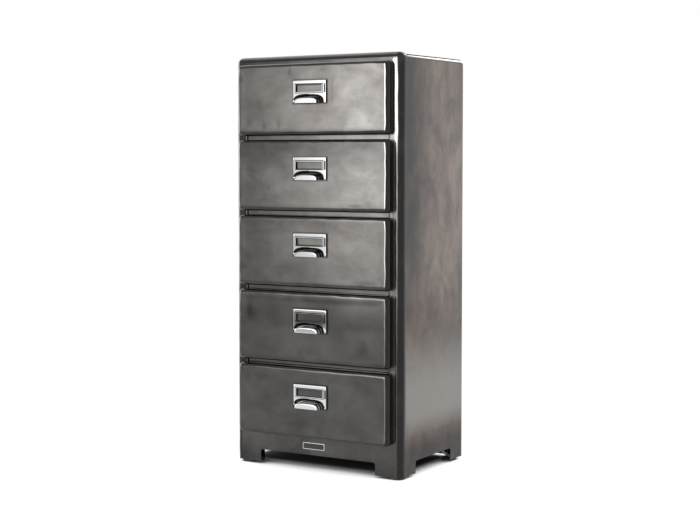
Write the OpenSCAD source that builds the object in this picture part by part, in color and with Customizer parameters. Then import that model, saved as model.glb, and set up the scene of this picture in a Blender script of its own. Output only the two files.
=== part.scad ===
// Tall five-drawer chest of pressed sheet steel.
// Millimetres. Z is up, the fronts face -Y and X = 0 is the middle.
// The origin is the centre of the bounding box at floor level.

/* [Cabinet] */
// Width of the cabinet body
cab_w = 420; // [380:1:500]
// Depth of the cabinet body, from the face of the front frame to the back
cab_d = 283; // [265:1:340]
// Height from the floor to the top of the cabinet
cab_h = 900; // [820:1:980]
// Thickness of the body's sheet steel
sheet = 1; // [0.8:0.1:1.2]
// Width of the shell's flanges round the back
back_flange_w = 16; // [14:0.5:22]

/* [Front frame] */
// Radius of the frame's rounded outer edge and of the shell's upper bends
edge_r = 14.5; // [11:0.5:15]
// Width of the frame beside the drawer openings
stile_w = 29.5; // [28:0.5:34]
// Height of the frame above the top drawer front
top_margin = 18.5; // [16:0.5:26]
// Height of the lowest drawer front above the floor
plinth_h = 73.5; // [70:0.5:100]
// Depth of the flanges turned in round the drawer opening
return_d = 18; // [14:0.5:22]
// Inner corner radius of the drawer opening
opening_r = 4; // [2:0.5:6]
// Depth of the lap of the frame inside the shell
lap_d = 12; // [8:0.5:16]
// Visible seam between the frame and the shell
seam = 0.4; // [0.2:0.1:1]

/* [Legs] */
// Height of the arches between the legs
arch_h = 33; // [28:0.5:44]
// Corner radius of the arches
arch_r = 5; // [3:0.5:8]
// Width of the legs seen from the front
leg_w = 64; // [58:0.5:80]
// Depth of the front legs seen from the side
leg_front_d = 64; // [60:0.5:80]
// Depth of the rear legs seen from the side
leg_rear_d = 56; // [55:0.5:70]
// Clearance of the steel above the floor
foot_gap = 6; // [5:0.5:8]
// Depth of the flange turned in under the plinth
arch_return_d = 16; // [12:0.5:20]

/* [Rails] */
// Height of the gap between two drawer fronts
rail_gap = 9.5; // [8:0.5:18]
// Distance of the rails behind the face of the frame
rail_recess = 3; // [1:0.5:4]
// Depth of the rails
rail_d = 14; // [8:0.5:14]

/* [Drawers] */
// Width of the frame left bare beside the drawer fronts
front_margin = 19.6; // [18:0.2:20.4]
// Overlap of the drawer fronts above and below their openings
front_lap = 8; // [6:0.5:10]
// Depth of the pressed drawer fronts
front_d = 22.5; // [17:0.5:24]
// Radius of the drawer fronts' rounded edges and corners
front_r = 10; // [8:0.5:12]
// Width of the flange turned in behind the drawer fronts
front_flange_w = 9; // [7.5:0.5:9.5]
// Gap between the closed drawer fronts and the frame
front_gap = 1.5; // [1:0.1:2.5]
// How far each drawer pulls out
drawer_travel = 200; // [120:5:205]
// Height of the trays' walls
tray_h = 112; // [60:1:114]
// Height of the trays' floors above the lower edge of their fronts
tray_lift = 14; // [12:0.5:18]
// Free space behind the trays
tray_back_gap = 23; // [18:1:30]
// Width of the folded-over upper edge of the trays
hem_w = 2; // [1.6:0.2:3]
// Height of the folded-over upper edge of the trays
hem_h = 6; // [4:0.5:10]

/* [Slides] */
// Height of the runners above the lower edge of the drawer fronts
runner_lift = 40; // [24:1:60]
// Thickness of the runners
runner_t = 1.2; // [1:0.1:1.5]
// Clear height inside the runners
runner_clear_h = 8; // [7:0.5:12]
// Width of the runners' flanges
runner_reach = 10; // [8:0.5:11]
// Thickness of the slide bars on the trays
bar_t = 2; // [1.5:0.1:2.5]
// Width of the slide bars
bar_w = 12; // [11:0.5:14]
// Height of the slide bars' upright legs
bar_leg_h = 14; // [10:0.5:20]
// Running clearance between the slide bars and the runners
slide_gap = 0.4; // [0.3:0.1:0.8]

/* [Pulls] */
// Width of the pull's plate
pull_w = 84; // [83:0.5:97]
// Height of the pull's plate
pull_h = 49; // [47:0.5:60]
// Thickness of the pull's plate
pull_t = 3; // [2:0.1:3.5]
// Distance of the plate below the drawer front's upper edge
pull_drop = 37; // [20:0.5:50]
// Width of the label window
window_w = 66; // [50:0.5:66]
// Height of the label window
window_h = 15; // [10:0.5:16]
// Distance of the label window below the plate's upper edge
window_drop = 10; // [8.5:0.5:11]
// Distance of the window's middle to the left of the plate's middle
window_left = 1.3; // [0:0.1:4]
// Width of the raised border round the window
border_w = 2; // [1:0.1:2.4]
// Height of the raised border above the plate
border_t = 1.2; // [0.6:0.1:2]
// Width of the slot beside the window where a card goes in
slot_w = 2.5; // [1.5:0.1:3]
// Distance of the slot from the raised border
slot_gap = 3.3; // [1.6:0.1:3.6]
// How far the slot goes past the window above and below
slot_over = 1.5; // [0:0.1:1.8]
// Reach of the cup in front of the plate
cup_reach = 18; // [14:0.5:22]
// Width of the cup where it meets the plate
cup_base_w = 70; // [64:0.5:76]
// Height of the cup where it meets the plate
cup_base_h = 17.2; // [15:0.1:18]
// Width of the cup's lip
cup_lip_w = 56; // [48:0.5:64]
// Height of the cup's front
cup_lip_h = 11; // [8:0.1:12]
// Wall thickness of the cup
cup_wall = 1.6; // [1.2:0.1:2]
// Radius of the rivet heads on the plate
rivet_head_r = 1.5; // [1.2:0.1:1.6]

/* [Badge] */
// Width of the blank badge on the plinth
badge_w = 55; // [40:0.5:70]
// Height of the badge
badge_h = 14.6; // [10:0.2:18]
// Thickness of the badge
badge_t = 0.8; // [0.5:0.1:1.5]
// Height of the badge's middle above the floor
badge_z = 53; // [50:0.5:56]
// Distance of the badge's middle to the left of the frame's
badge_left = 7; // [0:0.5:10]

/* [Feet] */
// Radius of the glides' bases
glide_r = 18; // [12:0.5:19]
// Thickness of the glides' bases
glide_base_h = 5; // [4:0.5:5]
// Distance of the glides' stems from the outer faces of the legs
glide_inset = 22; // [20:0.5:23]
// Radius of the glides' stems
stem_r = 3; // [2.5:0.5:3.5]
// Height of the gusset plates above the floor
gusset_z = 10; // [9:0.5:12]
// Thickness of the gusset plates
gusset_t = 2; // [1.5:0.1:3]
// Height of the lip on the gusset plates
gusset_lip_h = 5; // [3:0.5:8]

/* [Hidden] */
$fn = 64;
DRAWERS = [1:5];
RAILS = [1:4];
DRAWER_PARTS = ["front", "liner", "tray", "slides", "pull", "pull_rivets", "buffers"];

// Colours
STEEL = "#6f6b66";
BARE_STEEL = "#8f8c88";
ZINC = "#a7a9ab";
CHROME = "#d8dadc";
BLACK = "#202020";

// Overall depth, and where the face of the front frame lies in it
screw_head_h = 1.6;
pull_proud = front_gap + front_d + pull_t + cup_reach;
face_y = (pull_proud - cab_d - screw_head_h) / 2;

// Drawer fronts and the openings behind them
drawer_count = 5;
front_w = cab_w - 2 * front_margin;
stack_h = cab_h - top_margin - plinth_h;
front_h = (stack_h - (drawer_count - 1) * rail_gap) / drawer_count;
pitch = front_h + rail_gap;
opening_x = cab_w / 2 - stile_w;
opening_z0 = plinth_h + front_lap;
opening_z1 = cab_h - top_margin - front_lap;
shell_x = cab_w / 2 - sheet;
back_y = cab_d - 2 * sheet;

// Legs and arches
arch_x = cab_w / 2 - leg_w;
cut_below = 10;
floor_z = arch_h + sheet;
floor_flange_h = 10;
lap_end_y = edge_r + lap_d;

// Slides
bar_air = 0.5;
bar_x = opening_x - bar_air;
tray_x = bar_x - bar_w;
tray_y = cab_d - tray_back_gap;
runner_x = opening_x + sheet;
runner_air = 0.5;
runner_y = return_d + runner_air;
runner_tab_w = 16;
stop_d = 3;
stop_h = 3.5;
stop_gap = 0.5;
upstand_d = 4;
upstand_air = 1;
bar_y = 3;
upstand_y = runner_y + stop_d + stop_gap + drawer_travel;

// Buffers behind the drawer fronts
buffer_r = 3.5;
buffer_clear = 0.5;
buffer_x = (opening_x + front_w / 2 - sheet / 2) / 2 + buffer_clear;
buffer_air = 0.3;
buffer_inset = 25;

// Pulls
rivet_side = 2;
rivet_top = 4.5;
rivet_x = pull_w / 2 - rivet_side;
rivet_z0 = 5;
rivet_z1 = pull_h - rivet_top;
rivet_tail = 1.5;
rivet_shank_r = 1;
rivet_hole_r = 1.05;
rivet_head_h = 0.8;
plate_r = 2;
window_z1 = pull_h - window_drop;
window_z0 = window_z1 - window_h;
window_x0 = -window_left - window_w / 2;
slot_x = -window_left + window_w / 2 + border_w + slot_gap;

// Feet
leg_corner_x = shell_x - sheet;
front_gusset_air = 5;
rear_gusset_air = 3;
front_gusset = min(leg_w, leg_front_d) - front_gusset_air;
rear_gusset = min(leg_w, leg_rear_d) - rear_gusset_air;
stem_hole_air = 0.5;
stem_hole_r = stem_r + stem_hole_air;
collar_wall = 3.5;
collar_r = stem_r + collar_wall;
stem_above = 12;
stem_top_z = gusset_z + gusset_t + stem_above;
nut_h = 5;
nut_air = 0.2;
nut_wall = 2.6;

// Back screws
screw_r = 1.75;
screw_hole_r = 1.9;
screw_head_r = 3.5;
screw_rows = 5;
screw_z0 = 60;
screw_top_margin = 50;
screw_z1 = cab_h - screw_top_margin;
screw_side_x = cab_w / 2 - back_flange_w / 2 - sheet;
screw_top_z = cab_h - back_flange_w / 2 - sheet;
screw_top_x = cab_w / 4;

// Height of the lower edge of drawer front n, where 1 is the top drawer
function front_z(n) = plinth_h + (drawer_count - n) * pitch;

// ---------- Helpers ----------

// Box between a low and a high corner
module box(low, high) {
    translate(low) cube(high - low);
}

// Extrudes an outline drawn in X and Z along Y
module along_y(y0, y1) {
    translate([0, y1, 0]) rotate([90, 0, 0]) linear_extrude(y1 - y0) children();
}

// Extrudes an outline drawn in Y and Z along X
module along_x(x0, x1) {
    translate([x0, 0, 0]) rotate([90, 0, 90]) linear_extrude(x1 - x0) children();
}

// Puts children at the face of the front frame
module at_face() {
    translate([0, face_y, 0]) children();
}

// Puts children in place and mirrored to the other side
module both_sides() {
    children();
    mirror([1, 0, 0]) children();
}

// Rectangle with round corners, centred on X, between two heights
module round_rect(w, z0, z1, r) {
    translate([-w / 2 + r, z0]) square([w - 2 * r, z1 - z0]);
    translate([-w / 2, z0 + r]) square([w, z1 - z0 - 2 * r]);
    for (x = [-w / 2 + r, w / 2 - r]) {
        for (z = [z0 + r, z1 - r]) {
            translate([x, z]) circle(r);
        }
    }
}

// Rectangle with only its upper corners round, centred on X
module arch_outline(w, z0, z1, r) {
    translate([-w / 2, z0]) square([w, z1 - r - z0]);
    translate([-w / 2 + r, z0]) square([w - 2 * r, z1 - z0]);
    for (x = [-w / 2 + r, w / 2 - r]) {
        translate([x, z1 - r]) circle(r);
    }
}

// Section of a pressed edge: X runs outward from the corner's axis, Y runs back
module rolled_edge(r, t) {
    intersection() {
        translate([0, r]) difference() {
            circle(r);
            circle(r - t);
        }
        square([r, r]);
    }
}

// Section of a drawer front's edge, with its side and the flange behind it
module front_edge_section() {
    rolled_edge(front_r, sheet);
    translate([front_r - sheet, front_r]) square([sheet, front_d - front_r]);
    translate([front_r - front_flange_w, front_d - sheet]) square([front_flange_w, sheet]);
}

// Section of the front frame's edge, with the joggled lap inside the shell
module frame_edge_section() {
    rolled_edge(edge_r, sheet);
    translate([edge_r - 2 * sheet, edge_r - 2 * sheet]) square([sheet, lap_d + 2 * sheet]);
}

// Quarter turn of a section round a corner's axis, from the side to the top
module corner_sweep() {
    rotate([-90, 0, 0]) rotate_extrude(angle = -90) children();
}

// Hexagonal nut with a round hole, standing on z = 0
module nut(hole_r, h) {
    difference() {
        cylinder(r = hole_r + nut_wall, h = h, $fn = 6);
        translate([0, 0, -1]) cylinder(r = hole_r, h = h + 2);
    }
}

// ---------- Cabinet ----------

// Arch between the front legs, also cut in the back
module leg_arch(grow) {
    arch_outline(2 * (arch_x + grow), -cut_below, arch_h + grow, arch_r + grow);
}

module front_frame() {
    axis_x = cab_w / 2 - edge_r;
    axis_z = cab_h - edge_r;
    color(STEEL) at_face() {
        along_y(0, sheet) difference() {
            translate([-axis_x, foot_gap]) square([2 * axis_x, axis_z - foot_gap]);
            round_rect(2 * opening_x, opening_z0, opening_z1, opening_r);
            leg_arch(0);
        }
        both_sides() {
            translate([axis_x, 0, foot_gap]) linear_extrude(axis_z - foot_gap) frame_edge_section();
            translate([axis_x, 0, axis_z]) corner_sweep() frame_edge_section();
        }
        translate([axis_x, 0, axis_z]) rotate([0, -90, 0]) linear_extrude(2 * axis_x) frame_edge_section();
        along_y(sheet, return_d) difference() {
            round_rect(2 * runner_x, opening_z0 - sheet, opening_z1 + sheet, opening_r + sheet);
            round_rect(2 * opening_x, opening_z0, opening_z1, opening_r);
        }
        along_y(sheet, arch_return_d) intersection() {
            difference() {
                leg_arch(sheet);
                leg_arch(0);
            }
            translate([-cab_w / 2, foot_gap]) square([cab_w, arch_h]);
        }
    }
}

module screw_places() {
    both_sides() {
        for (row = [0:screw_rows - 1]) {
            z = screw_z0 + row * (screw_z1 - screw_z0) / (screw_rows - 1);
            translate([screw_side_x, 0, z]) rotate([-90, 0, 0]) children();
        }
        translate([screw_top_x, 0, screw_top_z]) rotate([-90, 0, 0]) children();
    }
}

module screw_holes() {
    translate([0, back_y - 1, 0]) screw_places() cylinder(r = screw_hole_r, h = 2 * sheet + 2);
}

module body_shell() {
    arch_d = cab_d - leg_front_d - leg_rear_d;
    color(STEEL) at_face() difference() {
        union() {
            along_y(edge_r + seam, cab_d) difference() {
                arch_outline(cab_w, foot_gap, cab_h, edge_r);
                arch_outline(2 * shell_x, -cut_below, cab_h - sheet, edge_r - sheet);
            }
            along_y(cab_d - sheet, cab_d) difference() {
                arch_outline(cab_w, foot_gap, cab_h, edge_r);
                translate([-cab_w / 2 + back_flange_w, -cut_below])
                    square([cab_w - 2 * back_flange_w, cab_h - back_flange_w + cut_below]);
            }
        }
        translate([0, leg_front_d + arch_d / 2, 0])
            along_x(-cab_w, cab_w) arch_outline(arch_d, -cut_below, arch_h, arch_r);
        screw_holes();
    }
}

module back_panel() {
    fit = 0.3;
    color(STEEL) at_face() difference() {
        along_y(back_y, back_y + sheet) difference() {
            arch_outline(2 * (shell_x - fit), foot_gap, cab_h - sheet - fit, edge_r);
            leg_arch(0);
        }
        screw_holes();
    }
}

module floor_panel() {
    narrow_x = cab_w / 2 - edge_r;
    color(STEEL) at_face() {
        box([-narrow_x, sheet, floor_z], [narrow_x, lap_end_y, floor_z + sheet]);
        box([-shell_x, lap_end_y, floor_z], [shell_x, back_y, floor_z + sheet]);
        both_sides() {
            box([shell_x - sheet, lap_end_y, floor_z + sheet], [shell_x, back_y, floor_z + floor_flange_h]);
        }
        box([-shell_x + sheet, back_y - sheet, floor_z + sheet],
            [shell_x - sheet, back_y, floor_z + floor_flange_h]);
    }
}

// Rail n closes the frame below drawer n
module rail(n) {
    z0 = front_z(n) - rail_gap - front_lap;
    z1 = front_z(n) + front_lap;
    y0 = rail_recess;
    y1 = rail_recess + rail_d;
    color(STEEL) at_face() {
        box([-opening_x, y0, z0], [opening_x, y0 + sheet, z1]);
        box([-opening_x, y0 + sheet, z1 - sheet], [opening_x, y1, z1]);
        box([-opening_x, y0 + sheet, z0], [opening_x, y1, z0 + sheet]);
        both_sides() {
            box([opening_x - sheet, y0 + sheet, z0 + sheet], [opening_x, y1, z1 - sheet]);
        }
    }
}

// Pair of channel runners for drawer n, from the frame to the back
module runners(n) {
    z0 = front_z(n) + runner_lift;
    z1 = z0 + 2 * runner_t + runner_clear_h;
    tip_x = runner_x - runner_reach;
    web_x = runner_x + runner_t;
    color(ZINC) at_face() both_sides() {
        box([runner_x, 2 * sheet, z0], [web_x, back_y, z1]);
        box([tip_x, runner_y, z0], [runner_x, back_y, z0 + runner_t]);
        box([tip_x, runner_y, z1 - runner_t], [runner_x, back_y, z1]);
        box([tip_x, runner_y, z1 - runner_t - stop_h], [runner_x, runner_y + stop_d, z1 - runner_t]);
        box([web_x, back_y - runner_t, z0], [web_x + runner_tab_w, back_y, z1]);
    }
}

// Triangular plate in the corner of a leg: the corner is at (x, y) and the legs run to -X and dir * Y
module gusset_outline(x, y, size, dir, corner_cut) {
    polygon([
        [x - size, y],
        [x - corner_cut, y],
        [x, y + dir * corner_cut],
        [x, y + dir * size],
    ]);
}

module gusset(x, y, size, dir, corner_cut, stem_y) {
    lip_t = 1.7;
    difference() {
        union() {
            translate([0, 0, gusset_z]) linear_extrude(gusset_t)
                gusset_outline(x, y, size, dir, corner_cut);
            translate([0, 0, gusset_z + gusset_t]) linear_extrude(gusset_lip_h) polygon([
                [x - size, y],
                [x - size + lip_t, y],
                [x, y + dir * (size - lip_t)],
                [x, y + dir * size],
            ]);
        }
        translate([cab_w / 2 - glide_inset, stem_y, 0]) cylinder(r = stem_hole_r, h = floor_z);
    }
}

module leg_gussets() {
    color(BARE_STEEL) at_face() both_sides() {
        gusset(leg_corner_x, sheet, front_gusset, 1, edge_r, glide_inset);
        gusset(shell_x, back_y, rear_gusset, -1, sheet, cab_d - glide_inset);
    }
}

// Places of the four glides, as X and Y of their stems from the frame's face
module glide_at(side, rear) {
    y = rear ? cab_d - glide_inset : glide_inset;
    at_face() translate([side * (cab_w / 2 - glide_inset), y, 0]) children();
}

module glide(side, rear) {
    edge = 1.5;
    color(BLACK) glide_at(side, rear) rotate_extrude() {
        square([glide_r - edge, glide_base_h]);
        translate([0, edge]) square([glide_r, glide_base_h - 2 * edge]);
        translate([glide_r - edge, edge]) circle(edge);
        translate([glide_r - edge, glide_base_h - edge]) circle(edge);
        translate([0, glide_base_h]) square([collar_r, gusset_z - glide_base_h]);
        translate([0, gusset_z]) square([stem_r, stem_top_z - gusset_z]);
    }
}

module glide_nuts() {
    color(ZINC) for (side = [-1, 1]) {
        for (rear = [false, true]) {
            glide_at(side, rear) translate([0, 0, gusset_z + gusset_t]) nut(stem_r + nut_air, nut_h);
        }
    }
}

// Blank badge with a raised border
module badge() {
    border = 1.4;
    border_h = 0.4;
    z0 = badge_z - badge_h / 2;
    z1 = badge_z + badge_h / 2;
    color(CHROME) at_face() translate([-badge_left, 0, 0]) {
        along_y(-badge_t, 0) round_rect(badge_w, z0, z1, border);
        along_y(-badge_t - border_h, -badge_t) difference() {
            round_rect(badge_w, z0, z1, border);
            translate([-badge_w / 2 + border, z0 + border])
                square([badge_w - 2 * border, badge_h - 2 * border]);
        }
    }
}

module back_screws() {
    tail = 5;
    shank = 2 * sheet + tail;
    color(ZINC) at_face() screw_places() {
        translate([0, 0, cab_d]) cylinder(r = screw_head_r, h = screw_head_h);
        translate([0, 0, cab_d - shank]) cylinder(r = screw_r, h = shank);
    }
}

// ---------- Drawers ----------

// Puts children at the middle of the lower edge of drawer front n, on the face of the front
module at_front(n) {
    at_face() translate([0, -front_gap - front_d, front_z(n)]) children();
}

module pull_places() {
    for (x = [-rivet_x, rivet_x]) {
        for (z = [rivet_z0, rivet_z1]) {
            translate([x, 0, front_h - pull_drop - pull_h + z]) rotate([-90, 0, 0]) children();
        }
    }
}

// Pressed front with rounded edges and a flange behind
module drawer_front(n) {
    axis_x = front_w / 2 - front_r;
    side_h = front_h - 2 * front_r;
    color(STEEL) at_front(n) difference() {
        union() {
            box([-axis_x, 0, front_r], [axis_x, sheet, front_h - front_r]);
            both_sides() {
                translate([axis_x, 0, front_r]) linear_extrude(side_h) front_edge_section();
                translate([axis_x, 0, front_h - front_r]) corner_sweep() front_edge_section();
                translate([axis_x, 0, front_r]) mirror([0, 0, 1]) corner_sweep() front_edge_section();
            }
            translate([axis_x, 0, front_h - front_r]) rotate([0, -90, 0])
                linear_extrude(2 * axis_x) front_edge_section();
            translate([axis_x, 0, front_r]) mirror([0, 0, 1]) rotate([0, -90, 0])
                linear_extrude(2 * axis_x) front_edge_section();
        }
        translate([0, -1, 0]) pull_places() cylinder(r = rivet_hole_r, h = sheet + 2);
    }
}

// Flat inner plate that closes the pressed front
module drawer_liner(n) {
    fit = 0.3;
    y1 = front_d - sheet;
    color(STEEL) at_front(n) along_y(y1 - sheet, y1)
        round_rect(front_w - 2 * (sheet + fit), sheet + fit, front_h - sheet - fit, front_r - sheet - fit);
}

// Open tray behind the front
module drawer_tray(n) {
    y0 = -front_gap - sheet;
    z0 = front_z(n) + tray_lift;
    z1 = z0 + tray_h;
    color(BARE_STEEL) at_face() {
        box([-tray_x, y0, z0], [tray_x, tray_y, z0 + sheet]);
        box([-tray_x, tray_y - sheet, z0 + sheet], [tray_x, tray_y, z1]);
        box([-tray_x + hem_w, tray_y - hem_w, z1 - hem_h], [tray_x - hem_w, tray_y - sheet, z1]);
        both_sides() {
            box([tray_x - sheet, y0, z0 + sheet], [tray_x, tray_y - sheet, z1]);
            box([tray_x - hem_w, y0, z1 - hem_h], [tray_x - sheet, tray_y - sheet, z1]);
        }
    }
}

// Pair of angle bars on the tray that run in the channels
module drawer_slides(n) {
    z0 = front_z(n) + runner_lift + runner_t + slide_gap;
    upstand_z1 = z0 + runner_clear_h - 2 * slide_gap;
    color(ZINC) at_face() both_sides() {
        box([tray_x, bar_y, z0], [tray_x + runner_t, tray_y, z0 + bar_leg_h]);
        box([tray_x + runner_t, bar_y, z0], [bar_x, tray_y, z0 + bar_t]);
        box([runner_x - runner_reach + upstand_air, upstand_y, z0 + bar_t],
            [bar_x, upstand_y + upstand_d, upstand_z1]);
    }
}

// Outline of the cup in front view, at a share of the way from the plate to the lip
module cup_outline(share, height_share, inset) {
    base_round = 0.8;
    lip_round = 0.55;
    half_w = (cup_base_w + (cup_lip_w - cup_base_w) * share) / 2 - inset;
    top = cup_base_h + (cup_lip_h - cup_base_h) * height_share - inset;
    r = top * (base_round + (lip_round - base_round) * share);
    bottom = inset > 0 ? -2 * cup_wall : 0;
    translate([-half_w, bottom]) square([2 * half_w, top - r - bottom]);
    for (side = [-1, 1]) {
        translate([side * (half_w - r), top - r]) intersection() {
            circle(r, $fn = 32);
            translate([-r, 0]) square([2 * r, r]);
        }
    }
}

// Solid of the cup, or of the hollow in it when inset is the wall
module cup_solid(inset) {
    slab = 0.05;
    shoulder = 0.78;
    shoulder_fall = 0.45;
    front = -cup_reach + inset;
    hull() {
        along_y(-slab, 0) cup_outline(0, 0, inset);
        along_y(front * shoulder, front * shoulder + slab) cup_outline(shoulder, shoulder_fall, inset);
        along_y(front, front + slab) cup_outline(1, 1, inset);
    }
}

// Label holder and cup pull in one piece
module drawer_pull(n) {
    plate_z = front_h - pull_drop - pull_h;
    color(CHROME) at_front(n) translate([0, 0, plate_z]) {
        difference() {
            union() {
                along_y(-pull_t, 0) round_rect(pull_w, 0, pull_h, plate_r);
                translate([-window_left, 0, 0]) along_y(-pull_t - border_t, -pull_t)
                    round_rect(window_w + 2 * border_w, window_z0 - border_w, window_z1 + border_w, border_w);
            }
            box([window_x0, -pull_t - border_t - 1, window_z0], [window_x0 + window_w, 1, window_z1]);
            box([slot_x, -pull_t - 1, window_z0 - slot_over], [slot_x + slot_w, 1, window_z1 + slot_over]);
            translate([0, -pull_t - 1, -plate_z]) pull_places() cylinder(r = rivet_hole_r, h = pull_t + 2);
        }
        translate([0, -pull_t, 0]) difference() {
            cup_solid(0);
            cup_solid(cup_wall);
        }
    }
}

module drawer_pull_rivets(n) {
    shank = pull_t + sheet + rivet_tail;
    color(CHROME) at_front(n) translate([0, -pull_t, 0]) pull_places() {
        translate([0, 0, -rivet_head_h]) cylinder(r = rivet_head_r, h = rivet_head_h);
        cylinder(r = rivet_shank_r, h = shank);
    }
}

// Soft pads behind the front that meet the frame
module drawer_buffers(n) {
    color(BLACK) at_face() both_sides() {
        for (z = [buffer_inset, front_h - buffer_inset]) {
            translate([buffer_x, -front_gap, front_z(n) + z]) rotate([-90, 0, 0])
                cylinder(r = buffer_r, h = front_gap - buffer_air);
        }
    }
}

// ---------- Nodes ----------

front_frame();
body_shell();
back_panel();
floor_panel();
for (n = RAILS) {
    rail(n);
}
for (n = DRAWERS) {
    runners(n);
}
leg_gussets();
glide(-1, false);  // glide_front_left
glide(1, false);  // glide_front_right
glide(-1, true);  // glide_rear_left
glide(1, true);  // glide_rear_right
glide_nuts();
badge();
back_screws();
for (n = DRAWERS) {
    drawer_front(n);
    drawer_liner(n);
    drawer_tray(n);
    drawer_slides(n);
    drawer_pull(n);
    drawer_pull_rivets(n);
    drawer_buffers(n);
}
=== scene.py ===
"""Tall chest of five burnished steel drawers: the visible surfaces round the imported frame.

Lengths in the classes are millimetres in the chest's own frame: X runs to the right as the
front is faced, Y runs back from the face of the front frame, and Z runs up from the floor.
Skin.build turns them into metres in the row frame.
"""

import logging
import math
from dataclasses import dataclass, field
from functools import partial
from typing import Any, Callable, Optional, Sequence, Union

import bmesh
import bpy
import numpy as np
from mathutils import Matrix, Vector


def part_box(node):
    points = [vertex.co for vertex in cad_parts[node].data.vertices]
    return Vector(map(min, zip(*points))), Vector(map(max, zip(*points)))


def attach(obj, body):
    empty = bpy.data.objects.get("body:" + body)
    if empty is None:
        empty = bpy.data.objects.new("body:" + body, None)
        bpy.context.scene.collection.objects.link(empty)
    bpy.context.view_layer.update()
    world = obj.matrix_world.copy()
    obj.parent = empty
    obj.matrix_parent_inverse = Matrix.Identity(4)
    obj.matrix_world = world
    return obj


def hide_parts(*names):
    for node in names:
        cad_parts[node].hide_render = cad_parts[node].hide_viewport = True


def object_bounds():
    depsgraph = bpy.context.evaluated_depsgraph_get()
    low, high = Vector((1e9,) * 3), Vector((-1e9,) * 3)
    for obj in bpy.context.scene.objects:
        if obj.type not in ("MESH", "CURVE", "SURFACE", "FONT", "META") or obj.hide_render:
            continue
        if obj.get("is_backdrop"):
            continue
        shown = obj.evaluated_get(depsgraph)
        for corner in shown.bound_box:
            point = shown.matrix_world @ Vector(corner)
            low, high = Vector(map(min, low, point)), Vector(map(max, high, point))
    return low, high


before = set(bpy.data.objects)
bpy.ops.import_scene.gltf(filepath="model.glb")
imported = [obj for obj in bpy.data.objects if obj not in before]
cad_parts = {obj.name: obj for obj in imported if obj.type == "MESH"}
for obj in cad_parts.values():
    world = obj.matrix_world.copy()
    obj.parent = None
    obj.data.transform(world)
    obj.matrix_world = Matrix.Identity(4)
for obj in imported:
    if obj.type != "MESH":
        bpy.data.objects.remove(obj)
CAD_BOUNDS = [list(corner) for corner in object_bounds()]

# A millimetre in metres, and a metre in millimetres
MM = 0.001
METRE = 1000.0
QUARTER = math.pi / 2
FACE_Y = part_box("front_frame")[0].y
CABINET = "cabinet"

log = logging.getLogger("chest")

Colour = tuple[float, float, float, float]
# The function that adds a node, with its tree already given
Adder = Callable[..., bpy.types.Node]


@dataclass(frozen=True)
class Wear:
    """How one drawer was burnished and used, and the shade and highlights painted on it. Its shares
    run from 0 to 1.

    Attributes:
        grime: Darkening along the lower edge, oxide in part and painted shade in part.
        gleam: How bright the painted highlight at the start of the right-hand roll is, drawn as
            metal rubbed bright.
        shade: Darkening along the upper edge.
        shaded: Height of that shade, in millimetres.
        tarnish: How dull the pull's plating is all over: tarnished in part, and in part painted
            shade that tones down the lamps' reflections.
        smudges: Spots of oxide, each with X, height over the lower edge, half width, half height
            and strength.
        hem: How dark the painted shade under the lower roll is.
    """

    grime: float
    gleam: float
    shade: float
    shaded: float
    tarnish: float
    smudges: tuple[tuple[float, float, float, float, float], ...]
    hem: float = 0.0


# Each drawer's oxide and smudges, with the shade and highlight painted on its edges and the dulling
# of its pull
WEAR = {
    1: Wear(0.8, 1.0, 0.12, 50.0, 0.6, (
        (-52.0, 137.0, 3.5, 11.0, 0.59), (32.0, 139.0, 9.0, 6.0, 0.42),
        (-118.0, 18.0, 4.0, 9.0, 0.51), (-81.0, 20.0, 3.5, 11.0, 0.51),
        (-158.0, 30.0, 8.0, 12.0, 0.42), (54.0, 96.0, 5.0, 22.0, 0.34),
        (150.0, 120.0, 30.0, 26.0, 0.26),
    )),
    2: Wear(0.5, 1.0, 0.75, 85.0, 0.65, (
        (89.0, 143.0, 22.0, 5.0, 0.59), (-27.0, 140.0, 34.0, 6.0, 0.51),
        (112.0, 14.0, 20.0, 3.0, 0.68), (-150.0, 90.0, 14.0, 30.0, 0.26),
    )),
    3: Wear(0.2, 0.9, 0.3, 60.0, 0.6, (
        (-104.0, 140.0, 16.0, 6.0, 0.51), (35.0, 139.0, 12.0, 5.0, 0.51),
        (140.0, 16.0, 26.0, 5.0, 0.51),
    )),
    4: Wear(0.25, 0.4, 0.1, 40.0, 0.1, (
        (-158.0, 115.0, 8.0, 26.0, 0.59), (60.0, 136.0, 30.0, 8.0, 0.26),
        (120.0, 22.0, 30.0, 8.0, 0.26),
    )),
    5: Wear(0.08, 0.7, 0.0, 30.0, 0.0, (
        (-120.0, 130.0, 20.0, 8.0, 0.26), (90.0, 24.0, 24.0, 8.0, 0.20),
    ), hem=1.0),
}


# ---------- Small tools ----------


def linear(code: str) -> Colour:
    """Turns an sRGB hex colour into the linear values that the shaders take.

    Args:
        code: Six hex digits with a leading hash.

    Returns:
        Red, green, blue and an alpha of one.
    """
    channels = [int(code[i : i + 2], 16) / 255 for i in (1, 3, 5)]
    red, green, blue = (
        c / 12.92 if c <= 0.04045 else ((c + 0.055) / 1.055) ** 2.4 for c in channels
    )
    return (red, green, blue, 1.0)


def add_node(
    tree: bpy.types.NodeTree,
    kind: str,
    inputs: Optional[dict[Union[int, str], Any]] = None,
    **settings: Any,
) -> bpy.types.Node:
    """Adds one shader node, sets it up and links it.

    Args:
        tree: The tree that the node goes into.
        kind: The node's type, without the word that all shader nodes begin with.
        inputs: Input sockets by name or number, each with a value, an output socket to link, or
            a node whose first live output is linked.
        **settings: Properties of the node by name.

    Returns:
        The new node.
    """
    node = tree.nodes.new(f"ShaderNode{kind}")
    for name, value in settings.items():
        setattr(node, name, value)
    for key, value in (inputs or {}).items():
        if isinstance(value, bpy.types.Node):
            value = next(socket for socket in value.outputs if socket.enabled)
        if isinstance(value, bpy.types.NodeSocket):
            tree.links.new(value, node.inputs[key])
        else:
            node.inputs[key].default_value = value
    return node


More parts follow.
